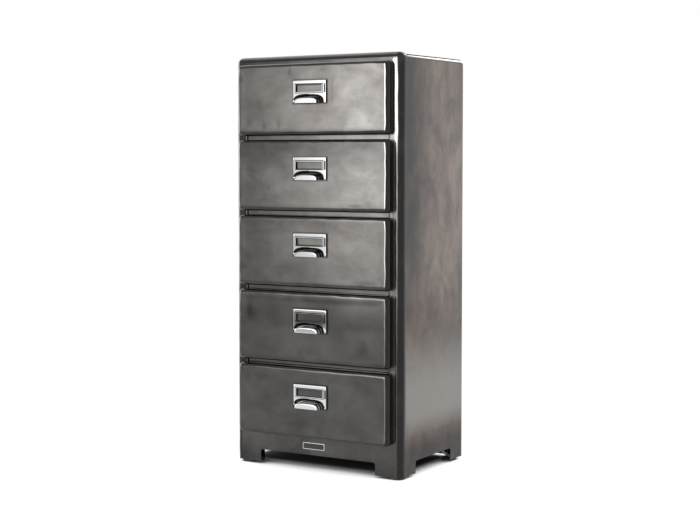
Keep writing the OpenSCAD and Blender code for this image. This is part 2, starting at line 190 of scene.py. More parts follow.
def material_of(
    name: str, shader: Callable[[bpy.types.NodeTree], bpy.types.Node]
) -> bpy.types.Material:
    """Makes a material round a shader.

    Args:
        name: The material's name.
        shader: Adds the shader to a tree and returns it.

    Returns:
        The material.
    """
    made = bpy.data.materials.new(name)
    made.use_nodes = True
    made.node_tree.nodes.clear()
    add_node(made.node_tree, "OutputMaterial", {"Surface": shader(made.node_tree)})
    return made


def local_box(node: str) -> tuple[np.ndarray, np.ndarray]:
    """Returns a CAD node's lowest and highest corners in millimetres in the chest's own frame."""
    low, high = (np.array(corner) / MM - [0.0, FACE_Y / MM, 0.0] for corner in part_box(node))
    return low, high


def smooth(t: np.ndarray) -> np.ndarray:
    """Returns the smooth step 3t^2 - 2t^3 of t held between 0 and 1."""
    t = np.clip(t, 0.0, 1.0)
    return t * t * (3.0 - 2.0 * t)


def ease(values: np.ndarray, start: float, end: float) -> np.ndarray:
    """Returns the smooth step of the values, 0 up to start and 1 from end on, either way round."""
    return smooth((values - start) / (end - start))


def most(*shares: Union[float, np.ndarray]) -> np.ndarray:
    """Returns the largest of the shares at each point."""
    return np.maximum.reduce(np.broadcast_arrays(*shares))


def stacked(*parts: Union[float, np.ndarray]) -> np.ndarray:
    """Returns numbers and arrays, brought to one shape, stacked along a new last axis."""
    return np.stack(np.broadcast_arrays(*parts), axis=-1)


def joined(*parts: np.ndarray) -> np.ndarray:
    """Joins runs of numbers end to end, leaving out the repeated first number of each next run."""
    return np.concatenate([parts[0]] + [part[1:] for part in parts[1:]])


def ruled(start: float, end: float, count: int, *extra: np.ndarray) -> np.ndarray:
    """Returns evenly spaced ruled lines with extra ones between them, in order."""
    lines = np.unique(np.round(np.concatenate([np.linspace(start, end, count), *extra]), 3))
    return lines[(lines >= start - 1e-3) & (lines <= end + 1e-3)]


@dataclass(frozen=True)
class Ripple:
    """Slight unevenness that dressing and welding leave in thin sheet.

    Attributes:
        height: The most that the sheet dips, in millimetres.
        length: Main distance between dips, in millimetres.
        seed: Changes where the dips are.
    """

    height: float
    length: float
    seed: int = 1

    def at(self, points: np.ndarray) -> np.ndarray:
        """Gives the dip at each point.

        The dip is half the height times one plus the mean of five sine waves, whose directions
        and lengths are fixed by the golden angle and the seed, so it lies between 0 and height.

        Args:
            points: Array whose last axis is X, Y, Z in millimetres.

        Returns:
            Array of dips in millimetres, without the last axis.
        """
        order = np.arange(5)
        turn = 2.399 * order + 0.73 * self.seed
        tilt = 1.1 * np.sin(1.7 * order + self.seed)
        waves = np.stack([np.cos(turn) * np.cos(tilt), np.sin(turn) * np.cos(tilt), np.sin(tilt)])
        lengths = self.length * (0.62 + 0.21 * order)
        phases = points @ (waves / lengths * 2.0 * math.pi) + 1.9 * order * self.seed
        return self.height * 0.5 * (1.0 + np.sin(phases).mean(axis=-1))


class Skin:
    """Patches of one pressed or cast piece, joined into one mesh."""

    def __init__(self) -> None:
        """Starts with no patches."""
        self.points: list[np.ndarray] = []
        self.faces: list[np.ndarray] = []
        self.finish: list[np.ndarray] = []
        self.films: dict[str, list[np.ndarray]] = {"soil": [], "wax": []}
        self.count = 0

    def add(
        self,
        points: np.ndarray,
        soil: Union[float, np.ndarray] = 0.0,
        keep: Optional[np.ndarray] = None,
        finish: Union[int, np.ndarray] = 0,
        wax: Union[float, np.ndarray] = 0.0,
    ) -> "Skin":
        """Adds a grid of points as a patch of quads, whose faces point along first x second axis.

        Args:
            points: Array of rows, columns and X, Y, Z in millimetres.
            soil: How much dark oxide and painted shade is left, for the patch or for each point.
                All of
            it is left from 1 up, and from 0 down to -1 the metal is rubbed bare, which also paints
            highlights.
            keep: Which cells become faces; all of them if left out.
            finish: Number of the material, for the patch or for each cell.
            wax: How much dull wax is left, from 0 to 1, for the patch or for each point.

        Returns:
            The skin itself.
        """
        rows, columns = points.shape[:2]
        index = self.count + np.arange(rows * columns).reshape(rows, columns)
        quads = stacked(index[:-1, :-1], index[1:, :-1], index[1:, 1:], index[:-1, 1:])
        chosen = np.ones(quads.shape[:2], bool) if keep is None else keep
        self.points.append(points.reshape(-1, 3))
        self.faces.append(quads[chosen])
        self.finish.append(np.broadcast_to(finish, quads.shape[:2])[chosen])
        for kind, share in (("soil", soil), ("wax", wax)):
            self.films[kind].append(np.broadcast_to(share, (rows, columns)).reshape(-1))
        self.count += rows * columns
        return self

    def build(self, name: str, thickness: float = 0.0, sharp: float = 35.0) -> bpy.types.Object:
        """Makes the mesh, closes its seams and gives the sheet its thickness.

        Args:
            name: Name of the piece.
            thickness: Thickness of the sheet behind the surface, in millimetres; 0 for none.
            sharp: Angle in degrees above which an edge is shaded as a crease.

        Returns:
            The piece, at the origin, with nothing left live on it.
        """
        points = np.concatenate(self.points) * MM
        points[:, 1] += FACE_Y
        faces = np.concatenate(self.faces)
        mesh = bpy.data.meshes.new(name)
        mesh.vertices.add(len(points))
        mesh.vertices.foreach_set("co", points.astype(np.float32).ravel())
        mesh.loops.add(faces.size)
        mesh.loops.foreach_set("vertex_index", faces.astype(np.int32).ravel())
        mesh.polygons.add(len(faces))
        mesh.polygons.foreach_set("loop_start", np.arange(0, faces.size, 4, dtype=np.int32))
        finish = np.concatenate(self.finish).astype(np.int32)
        mesh.polygons.foreach_set("material_index", finish)
        for kind, shares in self.films.items():
            film = mesh.attributes.new(kind, "FLOAT", "POINT")
            film.data.foreach_set("value", np.concatenate(shares).astype(np.float32))
        mesh.update(calc_edges=True)
        bm = bmesh.new()
        bm.from_mesh(mesh)
        used = {v for f in bm.faces for v in f.verts}
        bmesh.ops.delete(bm, geom=[v for v in bm.verts if v not in used], context="VERTS")
        bmesh.ops.remove_doubles(bm, verts=bm.verts, dist=0.005 * MM)
        bm.to_mesh(mesh)
        bm.free()
        piece = bpy.data.objects.new(name, mesh)
        bpy.context.scene.collection.objects.link(piece)
        if thickness:
            wall = piece.modifiers.new("wall", "SOLIDIFY")
            wall.thickness = thickness * MM
            wall.offset = -1.0
            wall.use_even_offset = True
            whole = piece.evaluated_get(bpy.context.evaluated_depsgraph_get())
            piece.data = bpy.data.meshes.new_from_object(whole)
            piece.modifiers.clear()
        piece.data.name = name
        piece.data.polygons.foreach_set("use_smooth", np.ones(len(piece.data.polygons), bool))
        piece.data.set_sharp_from_angle(angle=math.radians(sharp))
        return piece


def dress(
    piece: bpy.types.Object,
    body: str,
    slot: str,
    finishes: Sequence[bpy.types.Material],
    *nodes: str,
) -> None:
    """Gives a piece its materials and its place among the moving parts.

    Args:
        piece: The finished piece.
        body: The body that it moves with.
        slot: The record's material slot; not used.
        finishes: Its materials in order.
        *nodes: The CAD nodes that it stands for.
    """
    for finish in finishes:
        piece.data.materials.append(finish)
    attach(piece, body)
    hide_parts(*nodes)
    log.info("%s: %d faces on %s", piece.name, len(piece.data.polygons), body)


# ---------- Finishes ----------


@dataclass(frozen=True)
class Finish:
    """What a surface is made of, worked out from the place on the piece.

    Attributes:
        name: Common name of the material and how its surface was made.
    """

    name: str

    def shader(self, tree: bpy.types.NodeTree) -> bpy.types.Node:
        """Adds the shader to a tree and returns it."""
        raise NotImplementedError

    def material(self) -> bpy.types.Material:
        """Builds the material."""
        return material_of(self.name, self.shader)


@dataclass(frozen=True)
class BurnishedSteel(Finish):
    """Mild steel sheet, pickled dark, burnished by hand with wax and clear lacquered.

    The flats are rubbed back to a cloudy satin grey, and the dark oxide stays in smudges, where
    the pad does not reach. The rolled edges are painted dark as the shade and dark reflections
    that they would show, and the rubbed colour paints highlights on them.

    Attributes:
        name: Common name of the sheet and how it was finished.
        dark: Colour where the oxide is thick, and of the painted shade and dark reflections.
        middle: Colour of most of the sheet.
        bright: Colour where the pad has rubbed it back.
        warm: Brownish tint of thin oxide.
        rubbed: Bare metal where edges are rubbed through, also the colour of painted highlights.
        residue: Dull wax left in corners.
        cloud: Size of the broad clouds, in millimetres, as its other sizes are.
        patch: Size of the patches inside them.
        grain: Distance between the rubbing marks. Real ones are near 0.3 mm apart, too fine to
            show, so these are drawn coarser.
        relief: Height of the rubbing marks in the bump.
        tinting: Size of the tinted areas.
        spot: Distance between smudges, which are about half as wide.
        roughness: Roughness of the satin.
        spread: How much the roughness varies.
        bared: Roughness where edges are rubbed through.
        waxed: Roughness of the wax.
        lacquer: Strength of the clear coat.
        depth: How bright the least rubbed patches are beside the others.
        streak: Scale of the clouds along each axis; a small one draws them out.
    """

    name: str = "Burnished mild steel"
    dark: str = "#1a1817"
    middle: str = "#43413f"
    bright: str = "#52504d"
    warm: str = "#483f3c"
    rubbed: str = "#8b8884"
    residue: str = "#54504c"
    cloud: float = 110.0
    patch: float = 34.0
    grain: float = 2.2
    relief: float = 0.05
    tinting: float = 160.0
    spot: float = 62.0
    roughness: float = 0.21
    spread: float = 0.07
    bared: float = 0.12
    waxed: float = 0.6
    lacquer: float = 0.5
    depth: float = 0.72
    streak: tuple[float, float, float] = (0.6, 1.0, 0.8)

    def shader(self, tree: bpy.types.NodeTree) -> bpy.types.Node:
        """Adds the satin metal under its clear coat.

        Args:
            tree: The material's tree.

        Returns:
            The shader.
        """
        add = partial(add_node, tree)
        colour = {"data_type": "RGBA"}
        place = add("TexCoord").outputs["Object"]
        soil = add("Attribute", attribute_name="soil").outputs["Fac"]
        wax = add("Attribute", attribute_name="wax").outputs["Fac"]
        flow = add("Mapping", {"Vector": place, "Scale": self.streak})
        clouds = add("TexNoise", {
            "Vector": flow, "Scale": METRE / self.cloud, "Detail": 3.0, "Distortion": 0.6,
        })
        patches = add("TexNoise", {
            "Vector": flow, "Scale": METRE / self.patch, "Detail": 5.0, "Roughness": 0.6,
            "Distortion": 0.5,
        })
        # The pad runs level, so its marks are drawn out along X and Y
        lines = add("Mapping", {"Vector": place, "Scale": (0.05, 0.05, 1.0)})
        rubbing = add("TexNoise", {"Vector": lines, "Scale": METRE / self.grain, "Detail": 2.0})
        mixed = add("Mix", {0: 0.55, 2: clouds, 3: patches})
        mixed = add("Mix", {0: 0.06, 2: mixed, 3: rubbing})
        worn = add("MapRange", {"Value": mixed, "From Min": 0.38, "From Max": 0.62})
        tint = add("TexNoise", {"Vector": place, "Scale": METRE / self.tinting, "Detail": 1.0})
        tint = add("MapRange", {"Value": tint, "From Min": 0.45, "From Max": 0.75, "To Max": 0.6})
        base = add("Mix", {0: tint, 6: linear(self.middle), 7: linear(self.warm)}, **colour)
        least = (self.depth, self.depth, self.depth, 1.0)
        low = add("Mix", {0: 1.0, 6: base, 7: least}, blend_type="MULTIPLY", **colour)
        base = add("Mix", {0: worn, 6: low, 7: linear(self.bright)}, **colour)
        # Smudges are separate dark spots about 30 mm wide, with soft rims
        smudge = add("TexNoise", {"Vector": place, "Scale": METRE / self.spot, "Detail": 2.5})
        smudge = add(
            "MapRange", {"Value": smudge, "From Min": 0.6, "From Max": 0.78, "To Max": 0.5},
            interpolation_type="SMOOTHSTEP",
        )
        # The rim of the oxide is ragged, because it follows the patches
        patchy = {"Value": patches, "From Min": 0.3, "From Max": 0.7}
        ragged = add("MapRange", {**patchy, "To Min": 1.2, "To Max": 0.85})
        # The dark share is oxide in part, and in part painted shade and painted dark reflections
        left = add("Math", {0: soil, 1: ragged}, operation="MULTIPLY", use_clamp=True)
        oxide = add("Math", {0: left, 1: smudge}, operation="MAXIMUM")
        base = add("Mix", {0: oxide, 6: base, 7: linear(self.dark)}, **colour)
        # Below 0 the share paints highlights in the rubbed colour
        through = add("Math", {0: soil, 1: -1.0}, operation="MULTIPLY", use_clamp=True)
        base = add("Mix", {0: through, 6: base, 7: linear(self.rubbed)}, **colour)
        base = add("Mix", {0: wax, 6: base, 7: linear(self.residue)}, **colour)
        rough = add("MapRange", {
            **patchy, "To Min": self.roughness + self.spread / 2,
            "To Max": self.roughness - self.spread / 2,
        })
        rough = add("Mix", {0: through, 2: rough, 3: self.bared})
        rough = add("Mix", {0: wax, 2: rough, 3: self.waxed})
        return add("BsdfPrincipled", {
            "Base Color": base, "Roughness": rough,
            "Metallic": add("Math", {0: 1.0, 1: wax}, operation="SUBTRACT"),
            "Normal": add("Bump", {
                "Strength": 0.05, "Distance": self.relief * MM, "Height": rubbing,
            }),
            "Coat Weight": self.lacquer, "Coat Roughness": 0.06,
        })


@dataclass(frozen=True)
class PlainMetal(Finish):
    """Metal with a fine mottle: bare sheet, zinc plate or chrome plate.

    Attributes:
        first: Colour of one half of the mottle.
        second: Colour of the other half.
        size: Size of the mottle, in millimetres.
        roughness: Least roughness.
        spread: How much rougher it gets in the mottle.
        grain: Height of the surface grain in the bump, in millimetres.
        residue: Colour painted into corners and onto edges as shade and dark reflections.
    """

    first: str
    second: str
    size: float
    roughness: float
    spread: float
    grain: float
    residue: str = "#0e0d0d"

    def shader(self, tree: bpy.types.NodeTree) -> bpy.types.Node:
        """Adds the mottled metal.

        Args:
            tree: The material's tree.

        Returns:
            The shader.
        """
        add = partial(add_node, tree)
        colour = {"data_type": "RGBA"}
        place = add("TexCoord").outputs["Object"]
        soil = add("Attribute", attribute_name="soil").outputs["Fac"]
        mottle = add("TexNoise", {"Vector": place, "Scale": METRE / self.size, "Detail": 3.0})
        base = add("Mix", {0: mottle, 6: linear(self.first), 7: linear(self.second)}, **colour)
        rough = add("MapRange", {
            "Value": mottle, "From Min": 0.3, "From Max": 0.7,
            "To Min": self.roughness, "To Max": self.roughness + self.spread,
        })
        # The dark share is painted shade and painted dark reflection in corners and on edges
        return add("BsdfPrincipled", {
            "Base Color": add("Mix", {0: soil, 6: base, 7: linear(self.residue)}, **colour),
            "Metallic": 1.0, "Roughness": rough,
            "Normal": add("Bump", {
                "Strength": 0.2, "Distance": self.grain * MM, "Height": mottle,
            }),
        })


@dataclass(frozen=True)
class DarkPolymer(Finish):
    """Moulded nylon, rubber or stoved enamel: dark and not metallic.

    Attributes:
        colour: Its colour.
        rubbed: Colour where it is scuffed.
        size: Size of the scuffs, in millimetres.
        roughness: Its roughness.
        ior: Its index of refraction.
        relief: Height of the scuffs in the bump, in millimetres.
    """

    colour: str
    rubbed: str
    size: float
    roughness: float
    ior: float
    relief: float = 0.05

    def shader(self, tree: bpy.types.NodeTree) -> bpy.types.Node:
        """Adds the scuffed polymer.

        Args:
            tree: The material's tree.

        Returns:
            The shader.
        """
        add = partial(add_node, tree)
        place = add("TexCoord").outputs["Object"]
        scuff = add("TexNoise", {"Vector": place, "Scale": METRE / self.size, "Detail": 5.0})
        colours = {0: scuff, 6: linear(self.colour), 7: linear(self.rubbed)}
        return add("BsdfPrincipled", {
            "Base Color": add("Mix", colours, data_type="RGBA"),
            "Normal": add("Bump", {
                "Strength": 0.3, "Distance": self.relief * MM, "Height": scuff,
            }),
            "Roughness": self.roughness, "IOR": self.ior,
        })


# ---------- Pressed shapes ----------


@dataclass(frozen=True)
class Pan:
    """Sheet pressed into a shallow pan with round corners and rolled edges.

    Attributes:
        corner: Radius of its corners in front view, in millimetres, as all its lengths are.
        roll: Radius of its rolled edges, less than corner.
        depth: Depth from its face to its back rim.
        bend: Radius of the bend into the flange behind.
        flange: Width of that flange; 0 for none.
        steps: Points round the rolled edge.
    """

    corner: float
    roll: float
    depth: float
    bend: float = 0.0
    flange: float = 0.0
    steps: int = 10

    def profile(self) -> np.ndarray:
        """Gives the edge's section as shares of its radii.

        Returns:
            One row for each point, with the share of the flat before the roll, the sine and
            one minus the cosine of the turn, the share of the wall, and the way in and back.
        """
        turn = np.linspace(0.0, QUARTER, self.steps + 1)
        wall = np.linspace(0.0, 1.0, 4)[1:]
        rows = [
            np.zeros((1, 6)),
            stacked(1.0, np.sin(turn), 1 - np.cos(turn), 0.0, 0.0, 0.0),
            stacked(1.0, 1.0, 1.0, wall, 0.0, 0.0),
        ]
        if self.flange:
            bend = np.linspace(0.0, QUARTER, 4)[1:]
            inward, back = self.bend * (1 - np.cos(bend)), self.bend * np.sin(bend)
            rows.append(stacked(1.0, 1.0, 1.0, 1.0, inward, back))
            rows.append(np.array([[1.0, 1.0, 1.0, 1.0, self.flange, self.bend]]))
        return np.concatenate(rows)

    def grid(
        self,
        xs: np.ndarray,
        zs: np.ndarray,
        wander: Optional[Callable[[np.ndarray], np.ndarray]] = None,
    ) -> tuple[np.ndarray, np.ndarray]:
        """Works out the pan as one grid that wraps over all four edges.

        A point's place in the grid gives the number of profile steps past the flat in X and in
        Z. The larger one picks the step of the profile, and the ratio of the two turns it
        round the corner, from 0 to 90 degrees, so the corner of a square grid becomes a ball
        corner. A roll that starts late by `wander` has its radius less by as much.

        Args:
            xs: Places of the columns on the flat, which end at the corners' axes.
            zs: Places of the rows on the flat.
            wander: How much later the roll starts at each point of the axis, in millimetres.

        Returns:
            Points as X, depth behind the face and Z; and how far each is through the roll, from
            0 on the flat to 1 on the wall.
        """
        shape = self.profile()
        last = len(shape) - 1
        before, after = np.arange(-last, 0), np.arange(1, last + 1)
        steps = [np.concatenate([before, np.zeros(len(flat)), after]) for flat in (xs, zs)]
        bases = [np.pad(flat, last, "edge") for flat in (xs, zs)]
        step_x, step_z = np.meshgrid(*steps, indexing="ij")
        base_x, base_z = np.meshgrid(*bases, indexing="ij")
        far = np.maximum(np.abs(step_x), np.abs(step_z))
        near = np.minimum(np.abs(step_x), np.abs(step_z))
        share = 0.25 * math.pi * near / np.maximum(far, 1)
        turn = np.where(np.abs(step_x) >= np.abs(step_z), share, QUARTER - share)
        row = shape[far.astype(int)]
        late = np.full(far.shape, self.corner - self.roll)
        if wander is not None:
            # The ball corners keep their radius, so the wandering dies out towards them
            ends_x = 1 - (np.abs(base_x) / xs[-1]) ** 8
            ends_z = 1 - (np.abs(base_z) / zs[-1]) ** 8
            late += wander(stacked(base_x, 0.0, base_z)) * np.maximum(ends_x, ends_z) * (far > 0)
        radius = self.corner - late
        out = row[..., 0] * late + row[..., 1] * radius - row[..., 4]
        depth = row[..., 2] * radius + row[..., 3] * (self.depth - self.bend - radius)
        x = base_x + np.sign(step_x) * np.cos(turn) * out
        z = base_z + np.sign(step_z) * np.sin(turn) * out
        return stacked(x, depth + row[..., 5], z), np.clip((far - 1) / self.steps, 0, 1)


def carried(axis: np.ndarray, heading: np.ndarray, profile: np.ndarray) -> np.ndarray:
    """Carries a profile along a path that lies in the plane of the front.

    Each point is the path's axis point plus the profile's outward length along the heading,
    at the profile's depth.

    Args:
        axis: X and Z of each point of the path, in millimetres.
        heading: Outward direction at each point, in radians from X towards Z.
        profile: Outward length and depth of each point of the profile, the same all along the
            path, or with an axis for the path between them.

    Returns:
        Grid of the profile's points by the path's points by X, Y and Z.
    """
    if profile.ndim == 2:
        profile = profile[:, None, :]
    out, depth = profile[..., 0], profile[..., 1]
    return stacked(axis[:, 0] + np.cos(heading) * out, depth, axis[:, 1] + np.sin(heading) * out)


# ---------- Cabinet ----------


@dataclass
class FrontFrame:
    """Pressed front frame with its rolled outer edge, the opening and the arch between the legs.

    Attributes:
        roll: Radius of the outer edge, in millimetres, as all its lengths are.
        corner: Radius of the opening's corners.
        fold: Radius of the folds round the opening and the arch.
        stile: Width of the face beside the opening, with the rolled edge.
        head: Height of the face above the opening, with the rolled edge.
        plinth: Height of the opening's lower edge.
        arch_h: Height of the arch.
        arch_corner: Radius of the arch's corners.
        leg: Width of a leg.
        opening_d: Depth of the return round the opening.
        arch_d: Depth of the return round the arch.
        lap: Depth of the whole frame with the lap inside the shell.
        sheet: Thickness of the sheet.
        late: Least flat left before the rolled edge begins.
        fall: How far the right-hand stile falls back before its roll, beside the top drawer.
        top_z: Heights between which that fall sets in and the wax on the stile ends.
        rubbed: Share of the metal drawn as rubbed bare up the right-hand edge, as a painted
            highlight.
        rubbed_z: Heights between which that highlight sets in.
        dents: Unevenness of the face.
        drift: How much later the rolled edge begins along the stiles.
    """

    roll: float = 14.5
    corner: float = 4.0
    fold: float = 1.0
    stile: float = 29.5
    head: float = 26.5
    plinth: float = 81.5
    arch_h: float = 33.0
    arch_corner: float = 5.0
    leg: float = 64.0
    opening_d: float = 18.0
    arch_d: float = 16.0
    lap: float = 26.5
    sheet: float = 1.0
    late: float = 0.3
    fall: float = 1.5
    top_z: tuple[float, float] = (690.0, 750.0)
    rubbed: float = 0.75
    rubbed_z: tuple[float, float] = (600.0, 850.0)
    dents: Ripple = Ripple(0.16, 95.0, 3)
    drift: Ripple = Ripple(2.4, 70.0, 5)

    def loop(self) -> tuple[np.ndarray, int, int]:
        """Works out the matched loops round the opening and round the outside.

        Each row holds the axis point and heading of the opening's corner, and the axis point,
        heading and radius of the outer edge. Between two knots every number runs evenly, so a
        fixed axis with a turning heading gives an arc, and a moving one a straight line. The
        left half is the right half mirrored.

        Returns:
            The closed loop from the middle of the arch, anticlockwise; the number of points
            from its start to the foot of the arch; and to the foot of the rolled edge.
        """
        low, high = local_box("front_frame")
        half, foot, top = high[0], low[2], high[2]
        axis_x, axis_z = half - self.roll, top - self.roll
        hole_x = half - self.stile - self.corner
        sill, head = self.plinth + self.corner, top - self.head - self.corner
        arch_x, arch_z = half - self.leg - self.arch_corner, self.arch_h - self.arch_corner
        bent = self.arch_corner + self.fold
        near, late = 8.0, self.late
        # Each knot follows the number of points that lead up to it
        knots = (
            (0, 0, sill, -90, 0, arch_z, 90, bent),
            (34, arch_x - 2, sill, -90, arch_x, arch_z, 90, bent),
            (8, arch_x + 6, sill, -90, arch_x, arch_z, 0, bent),
            (6, arch_x + 14, sill, -90, arch_x, foot, 0, bent),
            (0, arch_x + 14, sill, -90, arch_x + bent, foot, 0, 0),
            (10, hole_x, sill, -90, axis_x - near, foot, 0, 0),
            (6, hole_x, sill, -45, axis_x, foot, 0, late),
            (6, hole_x, sill, 0, axis_x, foot + near, 0, late),
            (190, hole_x, head, 0, axis_x, axis_z - near, 0, late),
            (6, hole_x, head, 15, axis_x, axis_z, 0, late),
            (12, hole_x, head, 75, axis_x, axis_z, 90, late),
            (6, hole_x, head, 90, axis_x - near, axis_z, 90, late),
            (44, 0, head, 90, 0, axis_z, 90, late),
        )
        counts = [knot[0] for knot in knots]
        places = np.array([knot[1:] for knot in knots], float)
        rows = [places[:1]]
        for count, first, last in zip(counts[1:], places, places[1:]):
            rows.append(first + np.linspace(0, 1, count + 1)[1:, None] * (last - first))
        right = np.concatenate(rows)
        arch_end, edge_start = sum(counts[:4]), sum(counts[:7])
        height = right[:, 4]
        window = ease(height, foot, foot + 30.0) * ease(height, axis_z, axis_z - 60.0)
        window[:edge_start] = 0.0
        right[:, 6] += self.drift.at(stacked(0.0, 0.0, height)) * window
        left = right[::-1][1:-1] * np.array([-1, 1, -1, -1, 1, -1, 1])
        left[:, [2, 5]] += 180.0
        whole = np.concatenate([right, left, right[:1]])
        whole[:, [2, 5]] = np.radians(whole[:, [2, 5]])
        return whole, arch_end, edge_start

    def beside_top(self, points: np.ndarray) -> np.ndarray:
        """Returns 1 on the right-hand stile beside the top drawer and 0 away from it."""
        return ease(points[..., 2], *self.top_z) * ease(points[..., 0], 189.0, 200.0)

    def face(self, whole: np.ndarray, hole: np.ndarray, skin: Skin) -> None:
        """Adds the opening's return and the flat face, from the opening to the outer loop.

        A point of the face lies an even share of the way from the fold to the outer loop.

        Args:
            whole: The matched loops.
            hole: Grid of the opening's return and its fold.
            skin: Takes the patch.
        """
        edge = carried(whole[:, 3:5], whole[:, 5], stacked(whole[:, 6], 0.0)[None])[0]
        shares = np.linspace(0.0, 1.0, 9)[1:, None, None]
        face = np.concatenate([hole, hole[-1] + shares * (edge - hole[-1])])
        order = np.arange(len(face))
        flat = smooth(np.minimum(order - len(hole) + 1, len(face) - 1 - order) / 3.0)
        face[..., 1] += self.dents.at(face) * flat[:, None]
        face[..., 1] += self.fall * self.beside_top(face)
        x, z = face[..., 0], face[..., 2]
        # Painted shade in the opening's return and on its fold, along the top of the face, down the
        # left edge and low on the feet; the rest of the face keeps a little oxide
        inner = np.where(order < 2, 0.9, np.where(order < len(hole), 0.4, 0.1))[:, None]
        rim = 0.75 * ease(z, 872.0, 880.0) * ease(x, 196.0, 182.0)
        left = ease(x, -181.0, -183.0) * ease(z, 76.0, 80.0)
        soil = most(inner, rim, left, 0.5 * ease(z, 60.0, 10.0))
        # A painted highlight up the right-hand edge, drawn as metal rubbed bare
        bare = self.rubbed * ease(x, 187.0, 190.0) * ease(z, *self.rubbed_z)
        # Wax dries in a line down the right-hand edge, below the top drawer
        wax = 0.8 * ease(x, 186.0, 189.0) * ease(x, 195.0, 192.0) * ease(z, 70.0, 90.0)
        wax *= 1 - ease(z, *self.top_z)
        skin.add(face, soil * (1 - smooth(bare * 4)) - bare, wax=wax)

    def edge(self, rim: np.ndarray, skin: Skin) -> None:
        """Adds the rolled edge, a quarter circle whose radius the drift makes smaller, and the lap.

        Args:
            rim: The matched loops, from one foot of the rolled edge to the other.
            skin: Takes the patch.
        """
        turn = np.linspace(0.0, QUARTER, 15)[:, None]
        radius = self.roll - rim[:, 6]
        rolled = stacked(rim[:, 6] + radius * np.sin(turn), radius * (1 - np.cos(turn)))
        inside = self.roll - self.sheet
        lap = np.array([
            [self.roll, self.roll], [inside, self.roll + 0.05], [inside, self.roll + 0.6],
            [inside, self.lap],
        ])
        lap = np.broadcast_to(lap[:, None, :], (4, len(rim), 2))
        # The rolled edge is painted with the reflections it would show: dark past its first degrees
        # on the right, dark then bright further round on the left, a dark line then a highlight on
        # the top, and the highlight up the right; the lap is painted dark as shade
        degrees, across = np.degrees(turn), np.cos(rim[:, 5])
        right = ease(rim[:, 3], 150.0, 180.0) * ease(across, -0.1, 0.3)
        left = ease(rim[:, 3], -150.0, -180.0) * ease(across, 0.1, -0.3)
        shaded = ease(degrees, 6.0, 14.0)
        bare = self.rubbed * right * ease(rim[:, 4], *self.rubbed_z) * (1 - shaded)
        top = 0.75 + 0.25 * shaded - 1.5 * ease(degrees, 24.0, 46.0)
        side = 1.0 - 1.7 * ease(degrees, 40.0, 50.0)
        dark = right * shaded + left * side + np.maximum(1 - right - left, 0) * top - bare
        sweep = carried(rim[:, 3:5], rim[:, 5], np.concatenate([rolled, lap]))
        fallen = np.clip(1 - sweep[..., 1] / self.roll, 0, 1)
        sweep[..., 1] += self.fall * self.beside_top(sweep) * fallen
        skin.add(sweep, np.concatenate([dark, np.ones((4, len(rim)))]))

    def build(self) -> bpy.types.Object:
        """Makes the frame.

        Rows run from the back of the opening's return, over its fold and across the flat face to
        the outer loop. From there one strip goes over the rolled edge into the lap, and another
        over the fold of the arch.

        Returns:
            The finished piece.
        """
        whole, arch_end, edge_start = self.loop()
        fold = np.linspace(0.0, QUARTER, 4)
        grow, back = self.fold * (1 - np.cos(fold)), self.fold * (1 - np.sin(fold))
        inner = stacked(
            self.corner + np.concatenate([[0.0, 0.0], grow]),
            np.concatenate([[self.opening_d, self.opening_d / 2], back]),
        )
        skin = Skin()
        self.face(whole, carried(whole[:, 0:2], whole[:, 2], inner), skin)
        arch = whole[np.arange(-arch_end, arch_end + 1) % (len(whole) - 1)]
        over = stacked(
            self.arch_corner + np.concatenate([grow[::-1], [0.0, 0.0]]),
            np.concatenate([back[::-1], [self.arch_d / 2, self.arch_d]]),
        )
        # The fold over the arch is painted half dark, as the shade under the chest
        skin.add(carried(arch[:, 3:5], arch[:, 5], over), 0.5)
        self.edge(whole[edge_start : len(whole) - edge_start], skin)
        return skin.build("front_frame_skin", self.sheet)


